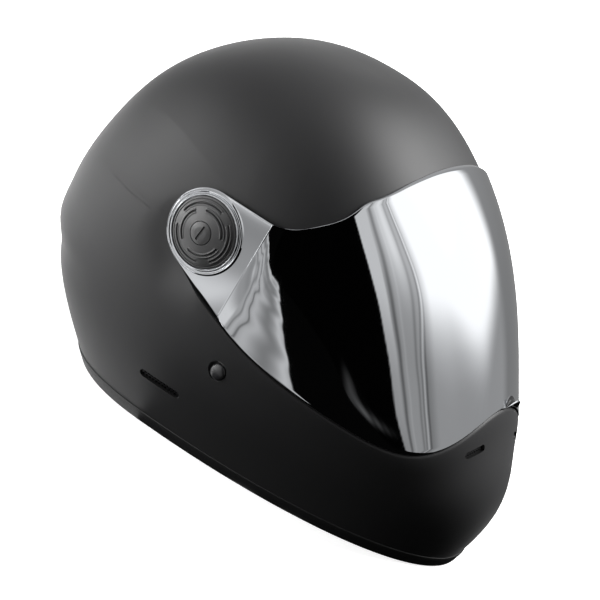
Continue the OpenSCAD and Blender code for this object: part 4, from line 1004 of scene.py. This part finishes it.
def webbing(name, path, hand, width=WEB_W, thick=WEB_T):
    """A band with rounded edges along a path of (x, z) points, as wide as it is along the helmet. How
    far each point is along the path and across the band is kept on the mesh for the weave, in mm."""
    step = np.gradient(path, axis=0)
    step /= np.linalg.norm(step, axis=1, keepdims=True)
    out = np.stack([-step[:, 1], step[:, 0]], -1)
    section = rounded([[-width / 2, -thick / 2], [width / 2, -thick / 2], [width / 2, thick / 2],
                       [-width / 2, thick / 2]], thick * 0.45, 3)
    spread = np.linspace(-0.9, 0.9, 9) * width / 2
    flat = np.stack([spread, 0 * spread - thick / 2], -1)
    section = np.concatenate([flat, section[4:8], section[8:12], -flat, section[12:], section[:4]])
    along = np.concatenate([[0], np.cumsum(np.linalg.norm(np.diff(path, axis=0), axis=1))])
    xz = path[:, None] + section[None, :, 1:] * out[:, None]
    y = MIDDLE - RIVET_FWD + section[None, :, 0] + 0 * xz[..., 0]
    points = np.stack([hand * xz[..., 0], y, xz[..., 1]], -1)
    marks = {"along": along[:, None] + 0 * xz[..., 0], "across": section[None, :, 0] + 0 * xz[..., 0]}
    return new_piece(name, points, capped(numbers(points)), 50, marks)


def closed_wire(name, path, radius, n=14, aside=(1, 0, 0)):
    """A round wire along a closed path of points, its section set square to the path and to one side."""
    path = np.asarray(path, float)
    step = np.roll(path, -1, 0) - np.roll(path, 1, 0)
    step = step / np.linalg.norm(step, axis=1, keepdims=True)
    one = np.cross(step, np.broadcast_to(np.asarray(aside, float), path.shape))
    one = one / np.linalg.norm(one, axis=1, keepdims=True)
    two = np.cross(step, one)
    v = np.linspace(0, 2 * math.pi, n, endpoint=False)[None, :, None]
    points = path[:, None] + radius * (np.cos(v) * one[:, None] + np.sin(v) * two[:, None])
    return ring_piece(name, points, 60)


def strap_path(end_x, shares):
    """A strap's path in (x, z): down the shell's wall beside the cheek, and then through points that
    hang at shares of the way from the wall's foot to end_x."""
    z = np.linspace(RIVET_Z - WASHER_R - 1, HANG_Z, 6)
    foot = float(strap_at(HANG_Z))
    hanging = np.array([[foot + (end_x - foot) * share, height] for share, height in shares])
    return np.concatenate([[[STRAP_X, STRAP_TOP]], np.stack([strap_at(z), z], -1), hanging])


# The left strap goes up to the rings and round both bars; the right one hangs down to its plain end.
left_path = strap_path(RING_X + RING_PITCH + 1, [[0.185, 16], [0.433, 13.5], [0.723, 17], [0.93, 21.5]])
right_path = strap_path(14, [[0.108, 16], [0.252, 12], [0.47, 9], [0.735, 7], [1, 6]])
v = np.radians(np.linspace(-60, 232, 40))
grip = LOOP_R + WEB_T / 2
loop = np.stack([RING_X + RING_PITCH / 2 + np.cos(v) * grip + np.sign(np.cos(v)) * RING_PITCH / 2,
                 RING_Z + np.sin(v) * grip], -1)
straps = [webbing("webbing_left", np.concatenate([curve_through(left_path, 8), loop[4:]]), 1),
          webbing("webbing_right", curve_through(right_path, 8), -1)]
for strap, hand in zip(straps, (1, -1)):
    axes = side_axes(STRAP_X, RIVET_FWD, RIVET_Z, hand)
    cut(strap, [prism("cut", circle(SHANK_R + 0.1, 32), [(-10, 0), (10, 0)], axes)], 50)

# Plain-woven polyester: weft ribs across the band every 1.3 mm and warp yarns along it every 1 mm, a
# charcoal black with a slight sheen. Its colour carries a painted highlight where the yarns are crowned and
# painted shade between them.
RIB_PITCH, YARN_PITCH, WEBBING_COLOUR = 1.3, 1.0, linear("#1b1b1d")
polyester_webbing, tree, shader = new_material("woven_polyester_webbing", Base_Color=WEBBING_COLOUR,
                                               Roughness=0.72, Sheen_Weight=0.35, Sheen_Roughness=0.5)
waves = []
for mark, pitch in (("along", RIB_PITCH), ("across", YARN_PITCH)):
    distance = add(tree, "ShaderNodeAttribute", attribute_name=mark).outputs["Fac"]
    phase = add(tree, "ShaderNodeMath", {0: distance, 1: 2 * math.pi / pitch}, operation="MULTIPLY")
    waves.append(add(tree, "ShaderNodeMath", {0: phase.outputs[0]}, operation="SINE").outputs[0])
weave = add(tree, "ShaderNodeMath", {0: waves[0], 1: waves[1]}, operation="MULTIPLY").outputs[0]
# The weave's height as colour: painted highlight on the crowns, painted shade between the yarns.
shade = add(tree, "ShaderNodeMapRange", {"Value": weave, "From Min": -1.0, "To Min": 0.7, "To Max": 1.45})
shaded_colour(tree, shader, WEBBING_COLOUR, shade.outputs["Result"])
bump = add(tree, "ShaderNodeBump", {"Height": weave, "Strength": 0.6, "Distance": 0.00025})
tree.links.new(bump.outputs["Normal"], shader.inputs["Normal"])
for strap, word in zip(straps, ("left", "right")):
    strap.data.materials.append(polyester_webbing)
    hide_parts("strap_" + word)
    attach(strap, "shell")

# Each ring is one wire bent to a D: a straight bar in the webbing's loop, and a half circle below it.
bow, bar = WEB_W / 2 + 2 * RING_WIRE, WEB_W / 2 + 2 * RING_WIRE - RING_BEND
v = np.radians(np.linspace(0, 90, 8))
half = np.radians(np.linspace(8, 172, 48))
along, down = np.concatenate([
    np.stack([np.linspace(-bar, bar, 12), np.zeros(12)], -1),
    np.stack([bar + RING_BEND * np.sin(v), RING_BEND * (np.cos(v) - 1)], -1)[1:-1],
    np.stack([bow * np.cos(half), -bow * np.sin(half)], -1)[3:-3],
    np.stack([-bar - RING_BEND * np.cos(v), RING_BEND * (np.sin(v) - 1)], -1)[1:-1]]).T
for word, x in (("inner", RING_X), ("outer", RING_X + RING_PITCH)):
    path = np.stack([x + 0 * along, MIDDLE - RIVET_FWD + along, RING_Z + down], -1)
    ring = closed_wire("d_ring_" + word, path, RING_WIRE)
    ring.data.materials.append(zinc)
    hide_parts("strap_ring_" + word)
    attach(ring, "ring_" + word)


# Cushions
# Two cheek pads, a crown pad and a neck roll: soft foam sewn into brushed knitted cloth, with a corded
# seam round each and stitched channels. Snaps and tape hold them to the foam behind them.

CHEEK_RISE, CROWN_RISE, NECK_RISE, PAD_GAP = 18, 4, 15, 1.6
SWELL_FRAMES, PRESSURE, SEWN_DOWN = 20, 4.0, 0.6


def crowned(u, v):
    """A crown over a field from -1 to 1 both ways: (1 - u^4)^0.45 times (1 - v^4)^0.45."""
    return np.maximum(1 - np.abs(u) ** 4, 0) ** 0.45 * np.maximum(1 - np.abs(v) ** 4, 0) ** 0.45


def groove(x, at, width):
    """A channel's share of depth, a bell curve about a value."""
    return np.exp(-((x - at) / width) ** 2)


def barrel(u, v, share):
    """A square field drawn towards a disc: each side bows out, by u sqrt(1 - share v^2 / 2)."""
    return u * np.sqrt(1 - share * v * v / 2), v * np.sqrt(1 - share * u * u / 2)


def coordinates(mesh):
    """Where a mesh's points are, as rows of three numbers."""
    flat = np.empty(len(mesh.vertices) * 3)
    mesh.vertices.foreach_get("co", flat)
    return flat.reshape(-1, 3)


def cushion(name, at, back, thick, sewn, share, counts, cap):
    """A closed cushion over a field u, v from -1 to 1, closer spaced at its edges. at(x, y, d) places a
    point, back is the depth that it lies on, thick(u, v) its rise and sewn(u, v) the share by which a
    channel holds it down. It starts lower than it ends: a cloth simulation swells it, held along its
    back, its seam and its channels, and each point's way is cut to a cap in millimetres. Gives the
    piece, its face's points, the ways out of it there, and the field's values along both sides."""
    row, col = (0.12 * np.linspace(-1, 1, n) + 0.88 * np.sin(np.radians(np.linspace(-90, 90, n)))
                for n in counts)
    u, v = np.meshgrid(row, col, indexing="ij")
    x, y = barrel(u, v, share)
    low = at(x, y, back - 1 + 0 * u)
    top = at(x, y, back - 1 - thick(u, v))
    under = at(x, y, back + 0 * u)
    points = np.concatenate([top.reshape(-1, 3), under.reshape(-1, 3)])
    piece = new_piece(name, points, two_sided(top), 180)
    spots = coordinates(piece.data)
    edge = (np.abs(u) > 0.999) | (np.abs(v) > 0.999) | (sewn(u, v) > SEWN_DOWN)
    held = np.flatnonzero(np.append(edge.ravel(), np.ones(u.size, bool)))
    piece.vertex_groups.new(name="held").add(held.tolist(), 1.0, "REPLACE")
    cloth = piece.modifiers.new("swell", "CLOTH")
    cloth.settings.use_pressure, cloth.settings.uniform_pressure_force = True, PRESSURE
    cloth.settings.vertex_group_mass = "held"
    cloth.settings.effector_weights.gravity = 0
    for number in range(1, SWELL_FRAMES + 1):
        bpy.context.scene.frame_set(number)
    move = coordinates(baked(piece)) - spots
    piece.modifiers.clear()
    bpy.context.scene.frame_set(1)
    way = np.linalg.norm(move, axis=1, keepdims=True)
    spots += move * np.minimum(1, cap / 1000 / np.maximum(way, 1e-9))
    piece.data.vertices.foreach_set("co", spots.ravel())
    piece.vertex_groups.clear()
    step = piece.modifiers.new("fine", "SUBSURF")
    step.levels = step.render_levels = 1
    finished = baked(piece)
    piece.modifiers.clear()
    piece.data = finished
    smooth(finished, 180)
    field = spots[:u.size].reshape(top.shape) * 1000
    lift = low - under
    return piece, field, lift / np.linalg.norm(lift, axis=2, keepdims=True), row, col


def on_field(field, row, col, u, v):
    """What a grid over the field holds at u and v, by straight interpolation both ways."""
    p, q = np.interp(u, row, np.arange(len(row))), np.interp(v, col, np.arange(len(col)))
    i, j = np.minimum(p.astype(int), len(row) - 2), np.minimum(q.astype(int), len(col) - 2)
    p, q = (p - i)[:, None], (q - j)[:, None]
    return ((field[i, j] * (1 - p) + field[i + 1, j] * p) * (1 - q)
            + (field[i, j + 1] * (1 - p) + field[i + 1, j + 1] * p) * q)


def border(field):
    """What a grid holds once round its edge, with the corners eased by six rounds of averaging."""
    loop = np.concatenate([field[:-1, 0], field[-1, :-1], field[:0:-1, -1], field[0, :0:-1]])
    for _ in range(6):
        loop = (np.roll(loop, 1, 0) + 2 * loop + np.roll(loop, -1, 0)) / 4
    return loop


def stitches(name, path, lift, pitch=4.0, length=2.7, r=0.42):
    """A row of stitches along a path: each is a capsule of five rings, set at an even pitch and lying
    along the path, proud of the cloth by half its thickness."""
    run = np.concatenate([[0], np.cumsum(np.linalg.norm(np.diff(path, axis=0), axis=1))])
    at = np.arange(pitch, run[-1] - pitch / 2, pitch)
    centre, shifted, up = (np.stack([np.interp(where, run, values[:, i]) for i in range(3)], -1)
                           for where, values in ((at, path), (at + 0.5, path), (at, lift)))
    ahead = shifted - centre
    ahead /= np.linalg.norm(ahead, axis=1, keepdims=True)
    side_way = np.cross(ahead, up)
    side_way /= np.linalg.norm(side_way, axis=1, keepdims=True)
    up = np.cross(side_way, ahead)
    along = np.array([-1, -0.85, 0, 0.85, 1])[None, :, None, None] * length / 2
    wide = np.array([0.35, 0.9, 1, 0.9, 0.35])[None, :, None, None] * r
    v = np.radians(np.arange(0, 360, 60.0))[None, None, :, None]
    rise = 0.5 * r + wide * np.cos(v) - 0.6 * np.abs(along / length)
    points = (centre[:, None, None] + up[:, None, None] * rise
              + side_way[:, None, None] * wide * np.sin(v) + ahead[:, None, None] * along)
    index = np.arange(points.size // 3).reshape(len(at), 5, 6)
    return new_piece(name, points, [face for one in index for face in capped(one)], 60)


# Brushed polyester knit over soft foam: near black, matt, with a pale bloom where it turns away. Its
# loops are 0.5 mm and are drawn at 1.1 mm, over a slow mottle where the nap lies both ways.
KNIT_COLOUR = linear("#1a1b1d")
brushed_knit, tree, shader = new_material("brushed_polyester_knit", Base_Color=KNIT_COLOUR, Roughness=0.9,
                                          IOR=1.45, Sheen_Weight=0.5, Sheen_Roughness=0.45)
place = add(tree, "ShaderNodeTexCoord").outputs["Object"]
loops = add(tree, "ShaderNodeTexVoronoi", {"Vector": place, "Scale": 900.0})
nap = add(tree, "ShaderNodeTexNoise", {"Vector": place, "Scale": 70.0, "Detail": 5.0, "Roughness": 0.65})
shade = add(tree, "ShaderNodeMapRange", {"Value": nap.outputs["Fac"], "From Min": 0.3, "From Max": 0.7,
                                         "To Min": 0.72, "To Max": 1.3}).outputs["Result"]
shaded_colour(tree, shader, KNIT_COLOUR, shade)
bump = add(tree, "ShaderNodeBump", {"Height": loops.outputs["Distance"], "Strength": 0.45,
                                    "Distance": 0.0004}, invert=True)
tree.links.new(bump.outputs["Normal"], shader.inputs["Normal"])

# Smooth binding tape round the seam's cord, and bonded polyester thread a shade paler.
binding_tape, tree, shader = new_material("woven_binding_tape", Base_Color=linear("#141415"), Roughness=0.6,
                                          Sheen_Weight=0.3, Sheen_Roughness=0.4)
grained(tree, shader, 1100.0, 0.3, 0.0002, Detail=2.0)
thread, tree, shader = new_material("bonded_polyester_thread", Base_Color=linear("#47484b"), Roughness=0.55,
                                    Sheen_Weight=0.4)
grained(tree, shader, 2500.0, 0.3, 0.0001, Detail=2.0)


def dress(name, node, made, seams):
    """Finishes a cushion: its cloth, the cord round its edge, and a row of stitches along each sewn channel."""
    piece, field, lift, row, col = made
    piece.data.materials.append(brushed_knit)
    cord = closed_wire(name + "_piping", border(field) + border(lift) * 0.2, 1.3, 10, border(lift))
    cord.data.materials.append(binding_tape)
    for i, (u, v) in enumerate(seams):
        path, out = on_field(field, row, col, u, v), on_field(lift, row, col, u, v)
        line = stitches(name + "_stitches_%d" % i, path, out)
        line.data.materials.append(thread)
        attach(line, "shell")
    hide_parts(node)
    for one in (piece, cord):
        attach(one, "shell")


# Cheek pads: a full crown with a slanted channel across it and one down its front.
SLANT, FRONT_SEAM = 0.28, -0.35


def cheek_rise(u, v):
    """The crown's rise, less its two channels' shares of it."""
    channels = 0.3 * groove(v, SLANT * u, 0.05) + 0.28 * groove(u, FRONT_SEAM, 0.05)
    return CHEEK_RISE * crowned(u, v) * (1 - channels)


def cheek_seam(u, v):
    """The share by which either channel is sewn down."""
    return np.maximum(groove(v, SLANT * u, 0.03), groove(u, FRONT_SEAM, 0.03))


line = np.linspace(-0.9, 0.9, 60)
for word, hand in (("left", 1), ("right", -1)):
    def cheek_at(x, y, d):
        """The core's inner side, less its border: x runs backwards along the cheek, and y up it."""
        return core_point(hand * mix(CHEEK_FROM, CHEEK_TO, 0.5 + 0.44 * x), 0.5 + 0.46 * y, d)

    made = cushion("cheek_pad_" + word, cheek_at, CORE_D - PAD_GAP, cheek_rise, cheek_seam, 0.35,
                   (52, 56), 5.0)
    dress("cheek_pad_" + word, "cheek_pad_" + word, made,
          ((line, SLANT * line), (FRONT_SEAM + 0 * line, line)))


# Crown pad: a thin cap under the crown foam, with five channels that run out from its middle. Its edge
# lies at a share of the shell's height.
CAP_LOW = 0.74


def crown_at(x, y, d):
    """The lining at a share of the way out from the crown, spaced evenly along the dome."""
    rho = np.hypot(x, y)
    top = SHELL_H + d
    edge = (1 - (CAP_LOW * SHELL_H / top) ** CROWN_POWER) ** (1 / CROWN_POWER)
    z = top * (1 - np.minimum(edge * rho, 0.999) ** CROWN_POWER) ** (1 / CROWN_POWER)
    return lining(np.degrees(np.arctan2(x, y)), z, d)


def crown_seam(u, v):
    """Five rays, where sin(2.5 a) has its zeros, that fade out near the middle and near the edge."""
    x, y = barrel(u, v, 1.0)
    a, rho = np.arctan2(x, y), np.hypot(x, y)
    return groove(np.sin(2.5 * a + math.pi / 4), 0, 0.2) * ease(0.2, 0.4, rho) * (1 - ease(0.84, 0.97, rho))


def ray(angle, rho):
    """The field's u and v for points out along an angle, by turning barrel() round for a disc."""
    x, y = rho * math.sin(angle), rho * math.cos(angle)

    def turned_round(x, y):
        total, part = 2 + x * x - y * y, 2 * math.sqrt(2) * x
        return 0.5 * (np.sqrt(total + part) - np.sqrt(np.maximum(total - part, 0)))

    return turned_round(x, y), turned_round(y, x)


def cap_rise(u, v):
    """A flat cap that falls off near its edge: sqrt((1 - u^8)(1 - v^8)), less the channels."""
    level = np.sqrt(np.maximum(1 - np.abs(u) ** 8, 0) * np.maximum(1 - np.abs(v) ** 8, 0))
    return CROWN_RISE * level * (1 - 0.6 * crown_seam(u, v))


made = cushion("crown_pad", crown_at, FOAM_D - FOAM_T - PAD_GAP, cap_rise, crown_seam, 1.0, (76, 76), 3.0)
dress("crown_pad", "crown_pad", made,
      [ray(math.pi * (0.4 * i - 0.1), np.linspace(0.3, 0.9, 40)) for i in range(5)])

# Neck roll: a long roll round the nape, sewn down in two places.
NECK_SEAM, NECK_HALF = 0.34, 62


def neck_at(x, y, d):
    """The lining round the nape: x runs to a half angle each way from the back, and y up it."""
    a = (360 + NECK_HALF * x) % 360 - 180
    return lining(a, mix(TRIM_H + 4, NAPE_Z - 2, 0.5 + 0.5 * y), d)


line = np.linspace(-0.9, 0.9, 40)
made = cushion("neck_roll", neck_at, FOAM_D - SOFT_GAP,
               lambda u, v: NECK_RISE * crowned(u, v) * (1 - 0.3 * groove(np.abs(u), NECK_SEAM, 0.04)),
               lambda u, v: groove(np.abs(u), NECK_SEAM, 0.025), 0.3, (90, 30), 4.5)
dress("neck_roll", "neck_roll", made, ((NECK_SEAM + 0 * line, line), (-NECK_SEAM + 0 * line, line)))


# Camera, floor and lights
# A studio with a white paper floor. The camera stands where the photograph's was, and cards and cloths
# round the helmet, which only its own reflections see, draw what the mirror and the ears show.

# The camera's lens, place and turn, fitted to the photograph's outline.
camera_data = bpy.data.cameras.new("camera")
camera = bpy.data.objects.new("camera", camera_data)
bpy.context.scene.collection.objects.link(camera)
camera_data.sensor_width, camera_data.lens = 36, 145.12
camera_data.clip_end = 20
azimuth, elevation, roll = (math.radians(v) for v in (-68.079, 19.421, 25.697))
back = Vector((math.cos(elevation) * math.sin(azimuth), -math.cos(elevation) * math.cos(azimuth),
               math.sin(elevation)))
level = Vector((0, 0, 1)).cross(back).normalized()
upward = back.cross(level)
right = math.cos(roll) * level + math.sin(roll) * upward
top = back.cross(right)
turn = Matrix((right, top, back)).transposed()
camera.matrix_world = Matrix.Translation((-1.40842, -0.56169, 0.63226)) @ turn.to_4x4()
bpy.context.scene.camera = camera


def in_front(az, el, r):
    """Points r from the pivots' middle, at an angle az round from the front to the wearer's left, and at
    an angle el above the level, both in degrees."""
    az, el, r = np.broadcast_arrays(np.radians(az), np.radians(el), r)
    return np.stack([r * np.cos(el) * np.sin(az), -r * np.cos(el) * np.cos(az), PIVOT_Z + r * np.sin(el)], -1)


def card(name, points, material, level=None):
    """A thin card from a grid of points in millimetres. The camera and the lamps' light pass through it.
    One with a level is seen by reflections alone, with a glow of 1.7 times the level's 2.2th power."""
    marks = {} if level is None else {"level": 1.7 * np.clip(level, 0.02, 1) ** 2.2}
    piece = new_piece(name, points, quads(numbers(points)), marks=marks)
    piece.data.materials.append(material)
    piece.visible_camera = piece.visible_shadow = False
    piece.visible_diffuse = level is None


def lit(name, hex_colour):
    """A material that only glows in a colour. Gives its node tree and its glow too."""
    material, tree, shader = new_material(name)
    glow = add(tree, "ShaderNodeEmission", {"Color": linear(hex_colour), "Strength": 1.0})
    tree.links.new(glow.outputs[0], tree.nodes["Material Output"].inputs["Surface"])
    return material, tree, glow


def seen_directly(tree):
    """1 for rays from the camera, in reflections and through clear plastic, and 0 for lighting."""
    path = add(tree, "ShaderNodeLightPath").outputs
    seen = path["Is Camera Ray"]
    for name in ("Is Glossy Ray", "Is Transmission Ray"):
        seen = add(tree, "ShaderNodeMath", {0: seen, 1: path[name]}, operation="MAXIMUM").outputs[0]
    return seen


# Matt white paper. The camera and reflections see it lit up to white, less the helmet's own shadow.
floor = new_piece("floor", np.array([[-6, -6, 0], [6, -6, 0], [6, 6, 0], [-6, 6, 0]]) * 1000, [(0, 1, 2, 3)])
paper, tree, shader = new_material("white_paper_sweep", Base_Color=linear("#f0f0f0"), Roughness=0.9)
fill = add(tree, "ShaderNodeMath", {0: seen_directly(tree), 1: 0.83}, operation="MULTIPLY")
shader.inputs["Emission Color"].default_value = (1, 1, 1, 1)
tree.links.new(fill.outputs[0], shader.inputs["Emission Strength"])
floor.data.materials.append(paper)

# Black cloth on the floor in front and on the wearer's right, which keeps the lower shell dark.
CARD_FAR = 1450
black_cloth, _, _ = lit("black_cloth", "#060606")
az = np.linspace(-111, 70, 60)[:, None]
near = np.interp(az, [-111, -90, -50, 0, 70], [84, 80, 105, 165, 105])
away = mix(near, CARD_FAR, np.linspace(0, 1, 12)[None])
x, y = away * np.sin(np.radians(az)), -away * np.cos(np.radians(az))
card("laid_cloth", np.stack([x, y, 0.3 + 0 * x], -1), black_cloth)


def bell(x, width):
    """A bell curve of a width about 0: exp(-(x / width)^2)."""
    return np.exp(-(x / width) ** 2)


# Glowing cards for matt cloth and paper, their painted light and shade kept as a level on each point.
shaded, tree, glow = lit("painted_light_studio_wall", "#ffffff")
level = add(tree, "ShaderNodeAttribute", attribute_name="level").outputs["Fac"]
tree.links.new(level, glow.inputs["Strength"])

# The studio round the helmet, as its mirror shows it, painted as one glowing card: from the wearer's right
# across the front to the left, silver cloth, black cloth, a hanging grey curtain whose folds are painted
# light and shade, a large softbox that fades towards its foot, and a grey wall. Grey paper closes it behind
# the helmet and over it. Each edge leans: az is the angle round and el the angle up, in degrees.
az, el = np.meshgrid(np.arange(-140, 220.2, 0.35), np.linspace(-7, 90, 76), indexing="ij")
cloth_edge = -32.3 - 0.49 * el
curtain_edge = -28.9 - 0.27 * el
box_edge = -16.5 + 6.5 * bell(el - 31, 14)
wall_edge = 59 + 0.7 * el
hem = mix(0.5, 0.73, ease(-2, 25, el))
fold = (az - curtain_edge) / (box_edge - curtain_edge)
fold_light_and_shade = (mix(0.53, 0.68, ease(12, 40, el)) - 0.19 * bell(fold - 0.13, 0.07) - 0.1 * bell(fold - 0.76, 0.05)
         + 0.17 * bell(fold - 0.55, 0.2) * ease(20, 42, el) + 0.04 * bell(fold - 0.35, 0.04))
foot, soft = 22 - 8 * ease(10, 45, az), 9.5 - 5 * ease(0, 45, az)
box = mix(0.54, 1.0, ease(foot - soft, foot + soft, el)) * mix(0.82, 1, ease(box_edge + 1, box_edge + 9, az))
wall = mix(0.44, 0.52, ease(0, 30, el))
level = mix(0.03, hem, ease(cloth_edge - 0.4, cloth_edge + 0.4, az))
level = mix(0.68, level, ease(-88, -86.5, az))
level = mix(level, fold_light_and_shade, ease(curtain_edge - 0.6, curtain_edge + 0.6, az))
level = mix(level, box, ease(box_edge - 0.6, box_edge + 0.6, az))
# Painted dark lines either side of the softbox's edge, and a painted light line on it.
seam = az - box_edge
level = level - 0.12 * (bell(seam + 1.5, 0.6) + bell(seam - 1.5, 0.6)) + 0.12 * bell(seam, 0.6)
level = mix(level, wall, ease(wall_edge - 6, wall_edge + 6, az))
# A thin painted light arc, low across the black cloth on the wearer's right.
light_arc = -5 + 0.0115 * (az + 56) ** 2
level = level + 0.3 * bell(el - light_arc, 0.9) * ease(-60, -55, az) * (1 - ease(-52, -30, az))
level = mix(level, 0.58, ease(100, 112, az) + 1 - ease(-140, -122, az))
level = mix(level, 0.786, ease(75, 86, el))
card("studio_wall", in_front(az, el, CARD_FAR), shaded, level)

# A glowing card of crumpled silver cloth on the floor beside the wearer's right ear: the light and shade of
# its folds along the helmet are painted.
x, y = np.meshgrid(-np.geomspace(240, CARD_FAR, 150), np.linspace(-118, 420, 200), indexing="ij")
crease_line = y + 10 * np.sin(x / 42) + 5 * np.sin(x / 19 + 1)
fold_light_and_shade = 0.6 + 0 * x
for height, middle, width in ((0.1, -97, 14), (-0.14, -52, 26), (0.06, -5, 16), (-0.2, 22, 5),
                              (0.05, 52, 14), (-0.12, 84, 9)):
    fold_light_and_shade += height * bell(crease_line - middle, width)
away = np.hypot(x, y)
beside = 0.56 + 0.22 * (1 - ease(420, 500, away)) - 0.05 * bell(away - 575, 40) + 0.17 * ease(605, 640, away)
silver = mix(fold_light_and_shade, beside, ease(105, 135, y))
silver = mix(0.03, silver, ease(-114, -108, crease_line * 0.3 + y * 0.7))
card("silver_cloth", np.stack([x, y, 6 + 0 * x], -1), shaded, silver)

# The grey wall's foot, on the floor at the wearer's left.
x, y = np.meshgrid(np.linspace(300, 1440, 12), np.linspace(-400, 400, 12), indexing="ij")
card("wall_foot", np.stack([x, y, 6 + 0 * x], -1), shaded, 0.44 + 0 * x)


def softbox(name, at, aim, size, power):
    """A rectangular lamp at a point, turned to aim at another, of a size in metres and a power in watts."""
    lamp = bpy.data.lights.new(name, "AREA")
    lamp.shape, lamp.size, lamp.size_y, lamp.energy = "RECTANGLE", size[0], size[1], power
    box = bpy.data.objects.new(name, lamp)
    bpy.context.scene.collection.objects.link(box)
    look = (Vector(aim) - Vector(at)).to_track_quat("-Z", "Y").to_matrix().to_4x4()
    box.matrix_world = Matrix.Translation(at) @ look


softbox("rear_lamp", (-1.0, 1.5, 0.36), (0, 0.05, 0.14), (1.6, 0.8), 50)
softbox("front_lamp", (1.05, -0.9, 1.85), (0, -0.05, 0.16), (1.2, 1.0), 94)

world = bpy.data.worlds.new("studio")
bpy.context.scene.world = world
world.use_nodes = True
tree = world.node_tree
room = tree.nodes["Background"]
room.inputs["Color"].default_value = (1, 1, 1, 1)
room.inputs["Strength"].default_value = 0.2
white = add(tree, "ShaderNodeBackground", {"Color": (1, 1, 1, 1), "Strength": 1.0})
both = add(tree, "ShaderNodeMixShader", {0: seen_directly(tree), 1: room.outputs[0], 2: white.outputs[0]})
tree.links.new(both.outputs[0], tree.nodes["World Output"].inputs["Surface"])

bpy.context.scene.view_settings.view_transform = "Standard"
